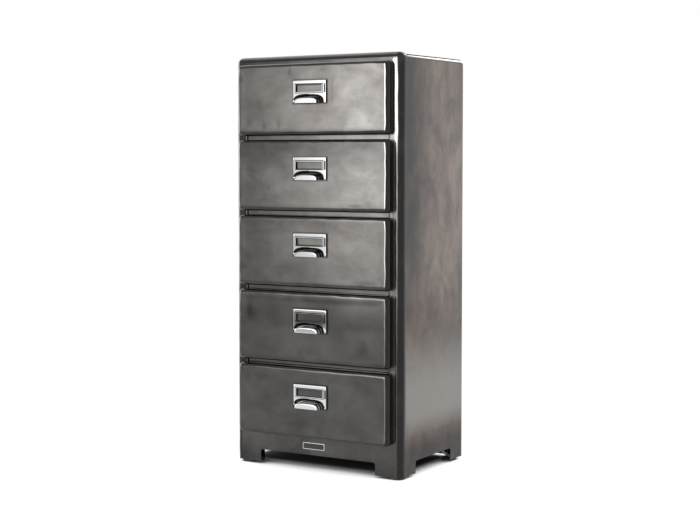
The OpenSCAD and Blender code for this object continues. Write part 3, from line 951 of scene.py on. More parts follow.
@dataclass
class BodyShell:
    """Sheet folded over the sides and the top, with an arch cut in each side and a rear flange.

    Attributes:
        bend: Radius of the two upper edges, in millimetres, as all its lengths are.
        arch_h: Height of the arches.
        arch_corner: Radius of their corners.
        front_leg: Depth of the front legs from the face of the frame.
        rear_leg: Depth of the rear legs.
        flange: Width of the rear flange.
        fold: Radius of its fold.
        sheet: Thickness of the sheet.
        sunk: How far the top lies under the frame's rim just behind it.
        knee: Height up to which the legs and the arches are patches of their own.
        held: Width of the strips along the front and the rear that stay flat.
        dents: Unevenness of the sheet.
    """

    bend: float = 14.5
    arch_h: float = 33.0
    arch_corner: float = 5.0
    front_leg: float = 64.0
    rear_leg: float = 56.0
    flange: float = 16.0
    fold: float = 1.0
    sheet: float = 1.0
    sunk: float = 3.0
    knee: float = 60.0
    held: float = 15.0
    dents: Ripple = Ripple(0.25, 150.0, 9)

    def dips(self, points: np.ndarray) -> np.ndarray:
        """Gives the dips of the sheet, which fade out towards its front and its rear.

        Args:
            points: Array whose last axis is X, Y, Z in millimetres.

        Returns:
            Array of dips in millimetres, without the last axis.
        """
        low, high = local_box("body_shell")
        y, rear = points[..., 1], high[1] - 2.0
        edge = ease(y, low[1], low[1] + self.held) * ease(y, rear, rear - self.held)
        return self.dents.at(points) * edge

    def grime(self, z: np.ndarray) -> np.ndarray:
        """Returns the painted shade on the legs and just over them, darkest near the floor."""
        return 0.8 * ease(z, 95.0, 50.0)

    def carried_back(self, path: np.ndarray, ways: tuple[np.ndarray, np.ndarray]) -> np.ndarray:
        """Carries the outline of the sides and top back from the frame, and folds its end in.

        Args:
            path: Axis X, axis Z and heading in radians of each point of the outline.
            ways: Depth of each row, and how far it lies inside the outline.

        Returns:
            Grid of rows by outline points by X, Y and Z. Dips are square to the outline, and
            the flange's inner edge is cut square at the upper corners.
        """
        _, high = local_box("body_shell")
        depth, inside = ways
        grid = carried(path[:, :2], path[:, 2], stacked(self.bend - inside, depth))
        dip = self.dips(grid)
        grid[..., 0] -= np.cos(path[:, 2]) * dip
        grid[..., 2] -= np.sin(path[:, 2]) * dip
        limit = (high[0] - inside)[:, None]
        grid[..., 0] = np.clip(grid[..., 0], -limit, limit)
        grid[..., 2] = np.minimum(grid[..., 2], (high[2] - inside)[:, None])
        return grid

    def ways(self) -> tuple[np.ndarray, np.ndarray, np.ndarray, tuple[np.ndarray, np.ndarray]]:
        """Rules the rows from the front to the rear.

        The arch is a straight line between two quarter circles.

        Returns:
            Depths of the rows over the front leg; depths over the arch; its heights there; and
            depths over the rear leg and round the flange, with how far each lies inside.
        """
        low, high = local_box("body_shell")
        turn = np.linspace(0.0, QUARTER, 13)
        back_leg = high[1] - self.rear_leg
        corner, lift = self.arch_corner * (1 - np.cos(turn)), self.arch_corner * np.sin(turn)
        arch = joined(
            self.front_leg + corner,
            np.linspace(self.front_leg + self.arch_corner, back_leg - self.arch_corner, 24),
            back_leg - corner[::-1],
        )
        arch_z = self.arch_h - self.arch_corner + joined(
            lift, np.full(24, self.arch_corner), lift[::-1]
        )
        rear = np.linspace(back_leg, high[1] - self.fold, 10)
        folded = np.linspace(0.0, QUARTER, 4)[1:]
        tail = high[1] - self.fold * (1 - np.sin(folded))
        tail_in = self.fold * (1 - np.cos(folded))
        return np.linspace(low[1], self.front_leg, 10), arch, arch_z, (
            np.concatenate([rear, tail, [high[1]]]),
            np.concatenate([0 * rear, tail_in, [self.flange]]),
        )

    def outline(self) -> np.ndarray:
        """Rules the outline over the knees: up one side, over both bends and the top, and down.

        Returns:
            Axis X, axis Z and heading in radians of each point.
        """
        _, high = local_box("body_shell")
        axis_x, axis_z = high[0] - self.bend, high[2] - self.bend
        half = joined(
            stacked(axis_x, np.linspace(self.knee, axis_z, 90), 0.0),
            stacked(axis_x, axis_z, np.linspace(0.0, QUARTER, 13)),
            stacked(np.linspace(axis_x, 0.0, 24), axis_z, QUARTER),
        )
        mirrored = half[::-1][1:] * np.array([-1.0, 1.0, -1.0]) + np.array([0, 0, math.pi])
        return np.concatenate([half, mirrored])

    def wear(self, upper: np.ndarray, sunk: np.ndarray) -> np.ndarray:
        """Works out the painted shade and painted highlights on the upper part.

        Args:
            upper: Grid of the upper part's points in millimetres.
            sunk: How far the top is sunk at each point.

        Returns:
            The painted shade at each point, and less than 0 where it is drawn as metal rubbed bare,
            as on the painted highlight along the bend.
        """
        low, high = local_box("body_shell")
        axis_x, axis_z = high[0] - self.bend, high[2] - self.bend
        x, z, reach = np.abs(upper[..., 0]), upper[..., 2], upper[..., 1] - low[1]
        # Painted shade beside the frame's seam in the upper half, where less light falls, and a
        # paler strip, drawn as rubbed metal, low at the front
        shade = most(ease(reach, 170.0, 0.0) * ease(z, 250.0, 550.0), self.grime(z))
        pale = 0.8 * ease(z, 345.0, 175.0) * ease(reach, -4.0, 10.0) * ease(z, 75.0, 135.0)
        # Degrees round the upper bend, 0 on the side and 90 on the top
        crown = np.degrees(np.arctan2(z + sunk - axis_z, x - axis_x))
        crown = np.where(z + sunk > axis_z + 0.01, crown, 0.0)
        # A painted highlight along the upper bend, drawn as rubbed metal, and a painted dark line
        # past it
        worn = ease(crown + 16.0 * ease(reach, 0.0, 250.0), 38.0, 46.0) * ease(reach, 0.0, 40.0)
        shade = shade * (1 - worn) + ease(crown, 50.0, 54.0) * (crown < 89.9)
        return shade - np.where(crown > 50.0, 0.0, np.maximum(pale, worn))

    def build(self) -> bpy.types.Object:
        """Makes the shell: an upper part in one grid, and below it a leg, an arch and a leg a side.

        The columns over an arch start on its outline and rise evenly to the upper part.

        Returns:
            The finished piece.
        """
        low, high = local_box("body_shell")
        front, arch, arch_z, rear = self.ways()
        flush = np.zeros(len(front) + len(arch) - 2)
        rows = (joined(front, arch, rear[0]), np.concatenate([flush, rear[1]]))
        upper = self.carried_back(self.outline(), rows)
        sunk = self.sunk * (1 - 0.6 * ease(upper[..., 1], low[1], high[1]))
        upper[..., 2] -= sunk * ease(upper[..., 2], 820.0, 880.0)
        skin = Skin().add(upper, self.wear(upper, sunk))

        rise, share = self.arch_h - self.arch_corner, np.linspace(0.0, 1.0, 7)
        legs = joined(np.linspace(low[2], rise, 5), rise + share * (self.knee - rise))
        # The legs and the arches take the painted shade near the floor
        for side, heading in ((1, 0.0), (-1, math.pi)):
            up = slice(None, None, side)
            path = stacked(side * (high[0] - self.bend), legs, heading)[up]
            for ways in ((front, 0 * front), rear):
                skin.add(self.carried_back(path, ways), self.grime(path[:, 1]))
            z = arch_z[:, None] + share * (self.knee - arch_z[:, None])
            over = stacked(side * high[0], arch[:, None], z)
            over[..., 0] -= side * self.dips(over)
            skin.add(over[:, up], self.grime(z)[:, up])
        return skin.build("body_shell_skin", self.sheet)


@dataclass
class Rail:
    """Cross rail between two drawers: a shallow channel with closed ends.

    Attributes:
        number: Number of the drawer above it.
        corner: Radius of its corners, in millimetres, as all its lengths are.
        roll: Radius of its bends.
        gap: Seam left at each end.
        shown: Half of the height of the strip left light between the drawers; above and below it
            the rail is painted dark as the drawers' shadow.
        grime: Darkening over that strip, from 0 to 1.
        sheet: Thickness of the sheet.
        dents: Unevenness of its face.
    """

    number: int
    corner: float = 1.6
    roll: float = 1.3
    gap: float = 0.7
    shown: float = 3.2
    grime: float = 0.25
    sheet: float = 1.0
    dents: Ripple = Ripple(0.15, 60.0, 4)

    def build(self) -> bpy.types.Object:
        """Makes the rail as a pan with its face to the front.

        Returns:
            The finished piece.
        """
        low, high = local_box(f"rail_{self.number}")
        half_w, half_h = high[0] - self.gap, (high[2] - low[2]) / 2
        middle = (low[2] + high[2]) / 2
        pan = Pan(self.corner, self.roll, high[1] - low[1], steps=4)
        seam = half_w - np.array([3.4, 3.0, 2.6])
        xs = ruled(-half_w + self.corner, half_w - self.corner, 60, seam)
        zs = np.linspace(-half_h + self.corner, half_h - self.corner, 28)
        points, roll = pan.grid(xs, zs)
        points += [0.0, low[1], middle]
        x = points[..., 0]
        flat = (roll == 0) * ease(np.abs(x), half_w, half_w - 8.0)
        points[..., 1] += self.dents.at(points) * flat
        # Darkening over the strip, painted shade on the rolls and at the ends, a painted dark seam
        # at the right-hand end, and painted shadow above and below the strip
        soil = most(
            self.grime,
            0.7 * roll,
            0.5 * ease(np.abs(x), half_w - 3.0, half_w),
            ease(x, half_w - 3.4, half_w - 2.6),
            0.95 * ease(np.abs(points[..., 2] - middle), self.shown, self.shown + 1.5),
        )
        return Skin().add(points, soil).build(f"rail_{self.number}_skin", self.sheet)


@dataclass
class Badge:
    """Blank plate with a raised bright border round a dark enamelled field.

    Attributes:
        border: Width of the border, in millimetres, as all its lengths are.
        relief: Height of the border over the field.
        roll: Radius of its outer edge.
        wall: Width of the slope between the border and the field.
        sheet: Thickness of the plate.
    """

    border: float = 1.4
    relief: float = 0.4
    roll: float = 0.45
    wall: float = 0.15
    sheet: float = 0.3

    def lines(self, half: float, count: int) -> np.ndarray:
        """Returns ruled lines over the field with a close pair at each side of it."""
        edge = half - self.border
        return np.array([-edge, *np.linspace(self.wall - edge, edge - self.wall, count), edge])

    def build(self) -> bpy.types.Object:
        """Makes the badge as a pan whose field is sunk between four ruled lines a side.

        Returns:
            The finished piece.
        """
        low, high = local_box("badge")
        half_w, half_h = (high[0] - low[0]) / 2, (high[2] - low[2]) / 2
        pan = Pan(self.border, self.roll, high[1] - low[1], steps=4)
        points, _ = pan.grid(self.lines(half_w, 14), self.lines(half_h, 5))
        aside, above = half_w - np.abs(points[..., 0]), half_h - np.abs(points[..., 2])
        sunk = np.minimum(aside, above) - self.border > self.wall / 2
        points[..., 1] += self.relief * sunk
        points += [(low[0] + high[0]) / 2, low[1], (low[2] + high[2]) / 2]
        field_cells = sunk[:-1, :-1] & sunk[1:, :-1] & sunk[1:, 1:] & sunk[:-1, 1:]
        skin = Skin().add(points, finish=field_cells.astype(int))
        return skin.build("badge_plate", self.sheet)


# ---------- Drawers ----------


@dataclass
class DrawerFront:
    """Pressed drawer front with rolled edges.

    Attributes:
        number: Number of the drawer, 1 at the top.
        wear: How it was burnished and used, and the shade and highlights painted on it.
        roll: Radius of its rolled edges and ball corners, in millimetres, as all its lengths are.
        bend: Radius of the bend into the flange behind.
        flange: Width of that flange.
        sheet: Thickness of the sheet.
        late: Least flat left before the roll begins.
        held: Width of the strip along the rolls that has no dents.
        shadow: Distances from the pull's plate over which its painted shadow fades.
        reveal: Distances from the label window's sides over which the painted shade inside it
            fades.
    """

    number: int
    wear: Wear
    roll: float = 10.0
    bend: float = 1.0
    flange: float = 9.0
    sheet: float = 1.0
    late: float = 0.1
    held: float = 14.0
    shadow: np.ndarray = field(default_factory=lambda: np.array([-1.0, 0.0, 1.5, 3.0, 5.0]))
    reveal: np.ndarray = field(default_factory=lambda: np.array([0.0, 4.0, 7.0, 12.0]))

    def lines(self, axis: int, half: float, count: int) -> np.ndarray:
        """Rules the flat, with extra lines where the dark lines round the pull fade.

        Args:
            axis: 0 for the lines along X, 2 for those along Z.
            half: Half of the flat's length along that axis.
            count: Number of evenly spaced lines.

        Returns:
            Places of the lines from the middle of the front.
        """
        low, high = local_box(f"drawer_{self.number}_front")
        plate_low, plate_high = local_box(f"drawer_{self.number}_pull")
        window = np.array(Pull(self.number).window()[axis // 2])
        inside = window[:, None] + np.array([[0.25], [-0.25]]) * self.reveal
        near = [plate_low[axis] - self.shadow, plate_high[axis] + self.shadow, inside.ravel()]
        middle = (low[axis] + high[axis]) / 2
        return ruled(-half, half, count, *(places - middle for places in near))

    def marks(self, points: np.ndarray) -> np.ndarray:
        """Works out the smudges, the painted shadow round the pull and the painted shade inside its
        window.

        A smudge is a bell curve of the elliptical distance from its middle.

        Args:
            points: Grid of points in millimetres.

        Returns:
            The oxide and painted shade at each point, from 0 to 1.
        """
        low, _ = local_box(f"drawer_{self.number}_front")
        x, z = points[..., 0], points[..., 2]
        soil = np.zeros(x.shape)
        for centre, height, wide, high, strength in self.wear.smudges:
            away = ((x - centre) / wide) ** 2 + ((z - low[2] - height) / high) ** 2
            soil += strength * np.exp(-away)
        plate_low, plate_high = local_box(f"drawer_{self.number}_pull")
        out = most(plate_low[0] - x, x - plate_high[0], plate_low[2] - z, z - plate_high[2])
        # A painted shadow round the pull's plate
        line = 0.9 * ease(out, self.shadow[-1], 0.0)
        # Inside the window its walls' painted shade is broad on the left and narrow on the right
        # and below
        (x0, x1), (z0, z1) = Pull(self.number).window()
        sides = np.minimum(1.5 * (x1 - 2.5 - x), np.minimum(1.5 * (z - z0), z1 - z))
        window = 0.9 * ease(np.minimum(0.55 * (x - x0), sides), 2.4, 0.0)
        return np.clip(np.maximum(soil, np.where(out > 0, line, window)), 0.0, 1.0)

    def build(self) -> bpy.types.Object:
        """Makes the front as a pan with a dented face and rolls that begin unevenly.

        Returns:
            The finished piece.
        """
        low, high = local_box(f"drawer_{self.number}_front")
        half_w, half_h = (high[0] - low[0]) / 2, (high[2] - low[2]) / 2
        pan = Pan(
            self.roll, self.roll - self.late, high[1] - low[1], self.bend, self.flange, steps=12
        )
        flat_x, flat_z = half_w - self.roll, half_h - self.roll
        drift = Ripple(2.6, 46.0, 11 + 7 * self.number)
        dents = Ripple(0.22, 75.0, 2 + 5 * self.number)
        xs, zs = self.lines(0, flat_x, 90), self.lines(2, flat_z, 56)
        points, roll = pan.grid(xs, zs, drift.at)
        x, z = points[..., 0].copy(), points[..., 2].copy()
        points += [0.0, low[1], (low[2] + high[2]) / 2]
        flat = smooth(np.minimum(flat_x - np.abs(x), flat_z - np.abs(z)) / self.held)
        points[..., 1] += dents.at(points) * flat
        over_x, over_z = x - np.clip(x, -flat_x, flat_x), z - np.clip(z, -flat_z, flat_z)
        soil = self.soil(points, roll, over_x, over_z)
        return Skin().add(points, soil).build(f"drawer_{self.number}_front_skin", self.sheet)

    def soil(
        self, points: np.ndarray, roll: np.ndarray, over_x: np.ndarray, over_z: np.ndarray
    ) -> np.ndarray:
        """Works out the oxide, painted shade and painted highlights on the face and round the
        rolls, by the degrees of each roll.

        Args:
            points: Grid of points in millimetres.
            roll: How far each point is through the roll, from 0 to 1.
            over_x: How far each point lies past the flat in X.
            over_z: How far each point lies past the flat in Z.

        Returns:
            The oxide and painted shade at each point, and less than 0 where a painted highlight is
            drawn as metal rubbed bare.
        """
        low, high = local_box(f"drawer_{self.number}_front")
        wear, z, turn = self.wear, points[..., 2], roll * 90.0
        over = np.hypot(over_x, over_z) + 1e-6
        level, right = np.abs(over_z) / over, smooth(over_x / over * 1.2)
        # Past its first degrees the right-hand roll is painted dark, as the dark surroundings it
        # reflects
        edge = ease(turn, 11.0, 20.0)
        # The lower roll: painted dark underneath, as the shade it lies in, and less dark further
        # round
        worn = 0.55 * (1 - wear.hem) * ease(turn, 62.0, 72.0)
        below = smooth((turn - 30.0 + 12.0 * wear.hem) / 16.0) * (1 - worn) * (0.9 + 0.6 * wear.hem)
        # The upper roll: a painted dark line, then a painted highlight over its crest, drawn as
        # rubbed metal
        crest = ease(turn, 12.0, 22.0) * (0.9 - 1.5 * ease(turn, 42.0, 58.0))
        rest = np.where(over_z < 0, below, crest) * smooth(level * 1.5)
        # A painted highlight on the left-hand ball corners, drawn as rubbed metal
        corner = smooth(-over_x / over * 1.2) * smooth(level / 0.3) * ease(turn, 56.0, 64.0)
        rest = rest * (1 - corner) - corner
        # Darkening along the lower and the upper edge of the face
        lower = wear.grime * ease(z, low[2] + 17.0, low[2] + 3.0) * (turn < 40)
        upper = wear.shade * ease(z, high[2] - wear.shaded, high[2]) * (turn < 12)
        soil = most(lower, upper, self.marks(points))
        soil = np.where(turn > 12, np.maximum(lower, right * edge + (1 - right) * rest), soil)
        soil = np.where((rest < 0) & (right < 0.5), rest, soil)
        # The wall behind the rolls is painted dark, as shade
        soil = np.where((roll >= 1) & (corner < 0.5), 0.95, soil)
        # A painted highlight at the start of the right-hand roll, drawn as metal rubbed bright
        bright = wear.gleam * right * ease(turn, -2.0, 2.0) * (1 - edge) * (roll > 0)
        return soil * (1 - smooth(bright * 3)) - bright


@dataclass
class Pull:
    """Cast label holder and cup pull in one piece, polished and chromed.

    Attributes:
        number: Number of its drawer.
        tarnish: How dull the plating is all over, from 0 to 1: tarnished in part, and in part
            painted shade that tones down the lamps' reflections.
        corner: Radius of the plate's corners, in millimetres, as all its lengths are.
        roll: Radius of the plate's edge.
        plate_t: Thickness of the plate.
        border_t: Height of the window's border over the plate.
        window_w: Width of the window.
        window_h: Height of the window.
        window_drop: Distance from the plate's upper edge to the window.
        window_left: Distance of its middle to the left of the plate's.
        border: Width of the border.
        slot_gap: Distance from the border to the card slot.
        slot_w: Width of the card slot.
        slot_over: How far the slot goes past the window above and below.
        base_w: Width of the cup on the plate.
        base_h: Height of the cup on the plate.
        lip_w: Width of the cup's face.
        lip_h: Height of the cup's face.
        power: Exponent of the cup's outline, a superellipse.
        wall: Thickness of the cup.
        sheet: Thickness that the plate's surface is given.
    """

    number: int
    tarnish: float = 0.0
    corner: float = 2.2
    roll: float = 1.3
    plate_t: float = 3.0
    border_t: float = 1.2
    window_w: float = 66.0
    window_h: float = 15.0
    window_drop: float = 10.0
    window_left: float = 1.3
    border: float = 2.0
    slot_gap: float = 3.3
    slot_w: float = 2.5
    slot_over: float = 1.5
    base_w: float = 70.0
    base_h: float = 17.2
    lip_w: float = 56.0
    lip_h: float = 11.0
    power: float = 3.2
    wall: float = 1.6
    sheet: float = 1.0

    def window(self) -> tuple[tuple[float, float], tuple[float, float]]:
        """Gives the window's place.

        Returns:
            The window's sides and its lower and upper edges, in the drawer's frame.
        """
        low, high = local_box(f"drawer_{self.number}_pull")
        middle = (low[0] + high[0]) / 2 - self.window_left
        upper, half = high[2] - self.window_drop, self.window_w / 2
        return (middle - half, middle + half), (upper - self.window_h, upper)

    def dulled(self, shade: np.ndarray) -> np.ndarray:
        """Returns the painted shade with the dulling of the plating, partly painted shade, all over
        it.
        """
        return self.tarnish + (1 - self.tarnish) * shade

    def plate(self, skin: Skin) -> None:
        """Adds the plate: a pan with a ruled relief that leaves out the window and the slot.

        The relief is 0 on the plate, the border's height on the border, and drops to the
        drawer's face within 0.3 mm of the window and the slot.

        Args:
            skin: Takes the patch.
        """
        low, high = local_box(f"drawer_{self.number}_pull")
        half_w, half_h = (high[0] - low[0]) / 2, (high[2] - low[2]) / 2
        end_x, end_z = half_w - self.corner, half_h - self.corner
        pan = Pan(self.corner, self.roll, self.plate_t, steps=5)
        rim, step, wall, over = self.border, 0.35, 0.12, self.slot_over
        x0, x1 = -self.window_left - self.window_w / 2, -self.window_left + self.window_w / 2
        z1 = half_h - self.window_drop
        z0 = z1 - self.window_h
        slot0 = x1 + rim + self.slot_gap
        slot1 = slot0 + self.slot_w
        # Close lines round the cup's foot carry the painted dark ring there, the cup's dark
        # reflection in the plate
        ring = np.linspace(-4.0, 4.0, 13)
        foot_x, foot_z = self.base_w / 2 + 2.6 + ring, -half_h + self.base_h + 0.9 + ring
        xs = ruled(-end_x, end_x, 2, np.concatenate([
            -foot_x, foot_x, [x0 - rim - 1.4, x0 - rim - 0.9, x0 - rim, x0 - rim + step, x0 - step],
            np.linspace(x0, x1, 24),
            [x1 + step, x1 + rim - step, x1 + rim, x1 + rim + 0.9, x1 + rim + 1.4, slot0 - 0.6],
            [slot0, slot0 + wall, slot1 - wall, slot1, slot1 + 0.6],
        ]))
        zs = ruled(-end_z, end_z, 2, np.concatenate([
            foot_z[foot_z < z0 - rim - 0.5], np.linspace(-end_z, z0 - rim - 1.5, 12),
            [z0 - rim - 0.9, z0 - rim, z0 - over, z0 - over + wall, z0 - step],
            np.linspace(z0, z1, 7),
            [z1 + step, z1 + over - wall, z1 + over, z1 + rim, z1 + rim + 0.9],
            np.linspace(z1 + rim + 1.5, end_z, 8),
        ]))
        points, roll = pan.grid(xs, zs)
        small = 1e-6

        def outside(x: np.ndarray, z: np.ndarray, sides: tuple[float, float, float]) -> np.ndarray:
            """Returns how far points lie outside a rectangle: left, right and over the window."""
            aside = np.abs(x - (sides[0] + sides[1]) / 2) - (sides[1] - sides[0]) / 2
            return np.maximum(aside, np.abs(z - (z0 + z1) / 2) - self.window_h / 2 - sides[2])

        x, z = points[..., 0], points[..., 2]
        window = (x0, x1, 0.0)
        out, beside = outside(x, z, window), outside(x, z, (slot0, slot1, over))
        raised = (out >= step - small) & (out <= rim - 0.1) & (roll == 0)
        sunk = (out <= small) | (beside <= small)
        points[..., 1] -= self.border_t * raised
        points[..., 1] = np.where(sunk, self.plate_t - 0.05, points[..., 1])
        cells = (points[:-1, :-1] + points[1:, 1:]) / 2
        inner_slot = (slot0 + wall, slot1 - wall, over - wall)
        through = outside(cells[..., 0], cells[..., 2], window) < 0
        through |= outside(cells[..., 0], cells[..., 2], inner_slot) < 0
        # Shares of the cup's foot, which the painted ring oversteps more on the left
        spread = np.abs(x / (self.base_w / 2 + np.where(x < 0, 6.2, 0.8))) ** self.power
        rise = np.clip((z + half_h) / (self.base_h + np.where(x < 0, 2.6, 1.8)), 0.0, 2.0)
        foot = (spread + rise ** self.power) ** (1 / self.power)
        # Painted shade in the window and the slot, a painted dark line round the border, painted
        # dark reflections on the rolled edge and the right-hand side, and the painted ring round
        # the cup's foot
        shade = most(
            np.where(sunk | (np.abs(beside) < 0.3), 0.9, 0.0),
            0.93 * ease(out, rim - 0.4, rim - 0.1) * ease(out, rim + 1.3, rim + 0.9),
            ease(roll, 0.45, 0.75),
            0.95 * ease(roll, 0.0, 0.1) * (x > end_x),
            ease(foot, 1.03, 0.99),
        )
        points += [0.0, high[1] - self.plate_t, (low[2] + high[2]) / 2]
        skin.add(points, self.dulled(shade), keep=~through)

    def cup(self, skin: Skin) -> None:
        """Adds the cup: an outline that shrinks from the plate to the face, then closes.

        The outline is a half superellipse, from one lower corner over the top to the other.
        Along the cup its width and height ease from the base's to the lip's, and the face is
        the last outline drawn in towards the middle of its lower edge.

        Args:
            skin: Takes the patch.
        """
        low, high = local_box(f"drawer_{self.number}_pull")
        turn = np.linspace(0.0, math.pi, 65)
        across = np.sign(np.cos(turn)) * np.abs(np.cos(turn)) ** (2.0 / self.power)
        up = np.abs(np.sin(turn)) ** (2.0 / self.power)
        reach = high[1] - low[1] - self.plate_t
        edge = 1.8
        round_off = np.linspace(0.0, QUARTER, 7)[1:]
        along = np.concatenate([
            [0.0, 0.3, 0.8], np.linspace(1.6, reach - edge, 22),
            reach - edge + edge * np.sin(round_off),
        ])
        share = along / reach
        flare = 1.1 * (1 - smooth(along / 2.6)) ** 2
        shrink = np.concatenate([np.zeros(25), edge * (1 - np.cos(round_off))])
        width = self.base_w / 2 + (self.lip_w - self.base_w) / 2 * share ** 1.1 + flare - shrink
        height = self.base_h + (self.lip_h - self.base_h) * share ** 0.8 + 0.5 * flare - shrink
        closing = np.array([0.93, 0.8, 0.6, 0.35, 0.12, 0.0])
        along = np.concatenate([along, np.full(6, reach)])[:, None]
        width = np.concatenate([width, width[-1] * closing])[:, None]
        height = np.concatenate([height, height[-1] * closing])[:, None]
        grid = stacked(across * width, -along, up * height)
        # Painted dark reflections: at the joint with the plate, in bands round the ends, and in one
        # line over the front
        left = reach - along
        ends = ease(np.abs(across), 0.6, 0.8)
        bands = ease(left, 1.6, 2.2) * ease(left, 6.0, 5.4)
        bands += ease(left, 7.6, 8.2) * ease(left, 12.6, 12.0)
        line = 0.45 * ease(left, 1.8, 2.3) * ease(left, 4.2, 3.4)
        shade = self.dulled(most(ease(along, 5.0, 3.8), ends * bands + (1 - ends) * line))
        grid += [0.0, high[1] - self.plate_t, low[2]]
        skin.add(grid[::-1], shade[::-1])

    def build(self) -> bpy.types.Object:
        """Makes the plate and the cup as one casting.

        Returns:
            The finished piece.
        """
        plate, cup = Skin(), Skin()
        self.plate(plate)
        self.cup(cup)
        name = f"drawer_{self.number}_pull_cast"
        whole = plate.build(name, self.sheet)
        part = cup.build(f"{name}_cup", self.wall, sharp=50.0)
        bm = bmesh.new()
        bm.from_mesh(whole.data)
        bm.from_mesh(part.data)
        bm.to_mesh(whole.data)
        bm.free()
        bpy.data.objects.remove(part)
        return whole


@dataclass
class Rivets:
    """Four domed rivets that hold a pull.

    Attributes:
        number: Number of the drawer.
        head_r: Radius of a head, in millimetres, as all its lengths are.
        head_h: Height of a head.
        shank_r: Radius of a shank.
    """

    number: int
    head_r: float = 1.5
    head_h: float = 0.8
    shank_r: float = 1.0

    def build(self) -> bpy.types.Object:
        """Makes each rivet by turning its section round the shank's axis.

        Returns:
            The finished piece.
        """
        low, high = local_box(f"drawer_{self.number}_pull_rivets")
        dome = np.linspace(0.0, QUARTER, 6)
        end = high[1] - low[1]
        radius = np.array([*(self.head_r * np.sin(dome)), self.shank_r, self.shank_r, 0.0])[:, None]
        depth = np.array([*(self.head_h * (1 - np.cos(dome))), self.head_h, end, end])[:, None]
        turn = np.linspace(0.0, 2 * math.pi, 21)
        # The edge of each head and the shank are painted dark, as the shade round the head
        rim = ease(radius, 0.72 * self.head_r, 0.72 * self.head_r + 0.4)
        skin = Skin()
        for x in (low[0] + self.head_r, high[0] - self.head_r):
            for z in (low[2] + self.head_r, high[2] - self.head_r):
                aside, above = x + radius * np.cos(turn), z + radius * np.sin(turn)
                skin.add(stacked(aside, low[1] + depth, above), rim)
        return skin.build(f"drawer_{self.number}_pull_rivet_set")


# ---------- Studio ----------


def panel(name: str, corners: np.ndarray, material: bpy.types.Material) -> bpy.types.Object:
    """Adds a flat stage panel.

    Args:
        name: Its name.
        corners: Four corners in metres in the row frame.
        material: Its material.

    Returns:
        The panel.
    """
    mesh = bpy.data.meshes.new(name)
    mesh.from_pydata([tuple(c) for c in corners], [], [(0, 1, 2, 3)])
    mesh.materials.append(material)
    panel = bpy.data.objects.new(name, mesh)
    bpy.context.scene.collection.objects.link(panel)
    panel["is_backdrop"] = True
    return panel


@dataclass(frozen=True)
class Upright:
    """Upright lamp or flag, which is seen only in mirrors and as light.

    Attributes:
        name: Its name.
        start: X and Y of its left end, seen from its lit side, in metres, as all its lengths are.
        end: X and Y of its right end.
        foot: Height of its lower edge.
        top: Height of its upper edge.
    """

    name: str
    start: tuple[float, float]
    end: tuple[float, float]
    foot: float
    top: float

    def strength(self, add: Adder, place: bpy.types.NodeSocket) -> bpy.types.Node:
        """Adds the nodes of its brightness at each place on it, and returns the last one."""
        raise NotImplementedError

    def glow(self, tree: bpy.types.NodeTree) -> bpy.types.Node:
        """Adds its light to a tree and returns it."""
        add = partial(add_node, tree)
        return add("Emission", {"Strength": self.strength(add, add("TexCoord").outputs["Object"])})

    def hang(self) -> bpy.types.Object:
        """Hangs it where no camera sees it and nothing stands in its shadow.

        Returns:
            The panel.
        """
        corners = [
            (*self.start, self.foot), (*self.end, self.foot),
            (*self.end, self.top), (*self.start, self.top),
        ]
        made = panel(self.name, np.array(corners), material_of(self.name, self.glow))
        made.visible_camera = False
        made.visible_shadow = False
        return made


@dataclass(frozen=True)
class Softbox(Upright):
    """Softbox whose light fades towards its sides and its foot.

    Attributes:
        power: Its brightness where it doesn't fade.
        fade: Widths of the fades at the start, the end and the foot.
        lit_from: Height at which the foot's fade begins.
    """

    power: float
    fade: tuple[float, float, float]
    lit_from: float = 0.0

    def strength(self, add: Adder, place: bpy.types.NodeSocket) -> bpy.types.Node:
        """Adds three smooth steps, in from each end and up from the foot, and multiplies them.

        Args:
            add: Adds a node to the tree.
            place: The place on the softbox.

        Returns:
            The node that gives the brightness.
        """
        a, b = np.array([*self.start, 0.0]), np.array([*self.end, 0.0])
        width = float(np.linalg.norm(b - a))
        along = (b - a) / width
        left = float(a @ along)
        right = left + width
        across = add("VectorMath", {0: place, 1: tuple(along)}, operation="DOT_PRODUCT")
        up = add("SeparateXYZ", {0: place}).outputs[2]
        shape: Optional[bpy.types.Node] = None
        for value, low, high in (
            (across, left, left + self.fade[0]),
            (across, right, right - self.fade[1]),
            (up, self.lit_from, self.lit_from + self.fade[2]),
        ):
            step = add(
                "MapRange", {"Value": value, "From Min": low, "From Max": high},
                interpolation_type="SMOOTHSTEP",
            )
            both = {0: shape, 1: step}
            shape = step if shape is None else add("Math", both, operation="MULTIPLY")
        return add("MapRange", {"Value": shape, "To Min": 1.0, "To Max": self.power})


@dataclass(frozen=True)
class Flag(Upright):
    """Black velvet flag with a soft upper edge, which only mirrors see.

    Attributes:
        soft: Height of its soft edge.
        black: Brightness of the velvet.
    """

    soft: float = 0.06
    black: float = 0.06

    def strength(self, add: Adder, place: bpy.types.NodeSocket) -> bpy.types.Node:
        """Adds a rise from black to the surround's white over the soft edge.

        Args:
            add: Adds a node to the tree.
            place: The place on the flag.

        Returns:
            The node that gives the brightness.
        """
        up = add("SeparateXYZ", {0: place}).outputs[2]
        edge = {"From Min": self.top - self.soft, "From Max": self.top, "To Min": self.black}
        return add("MapRange", {"Value": up, **edge}, interpolation_type="SMOOTHSTEP")

    def hang(self) -> bpy.types.Object:
        """Hangs it so that it takes no light from matt surfaces.

        Returns:
            The panel.
        """
        made = super().hang()
        made.active_material.name = "Black velvet"
        made.visible_diffuse = False
        return made


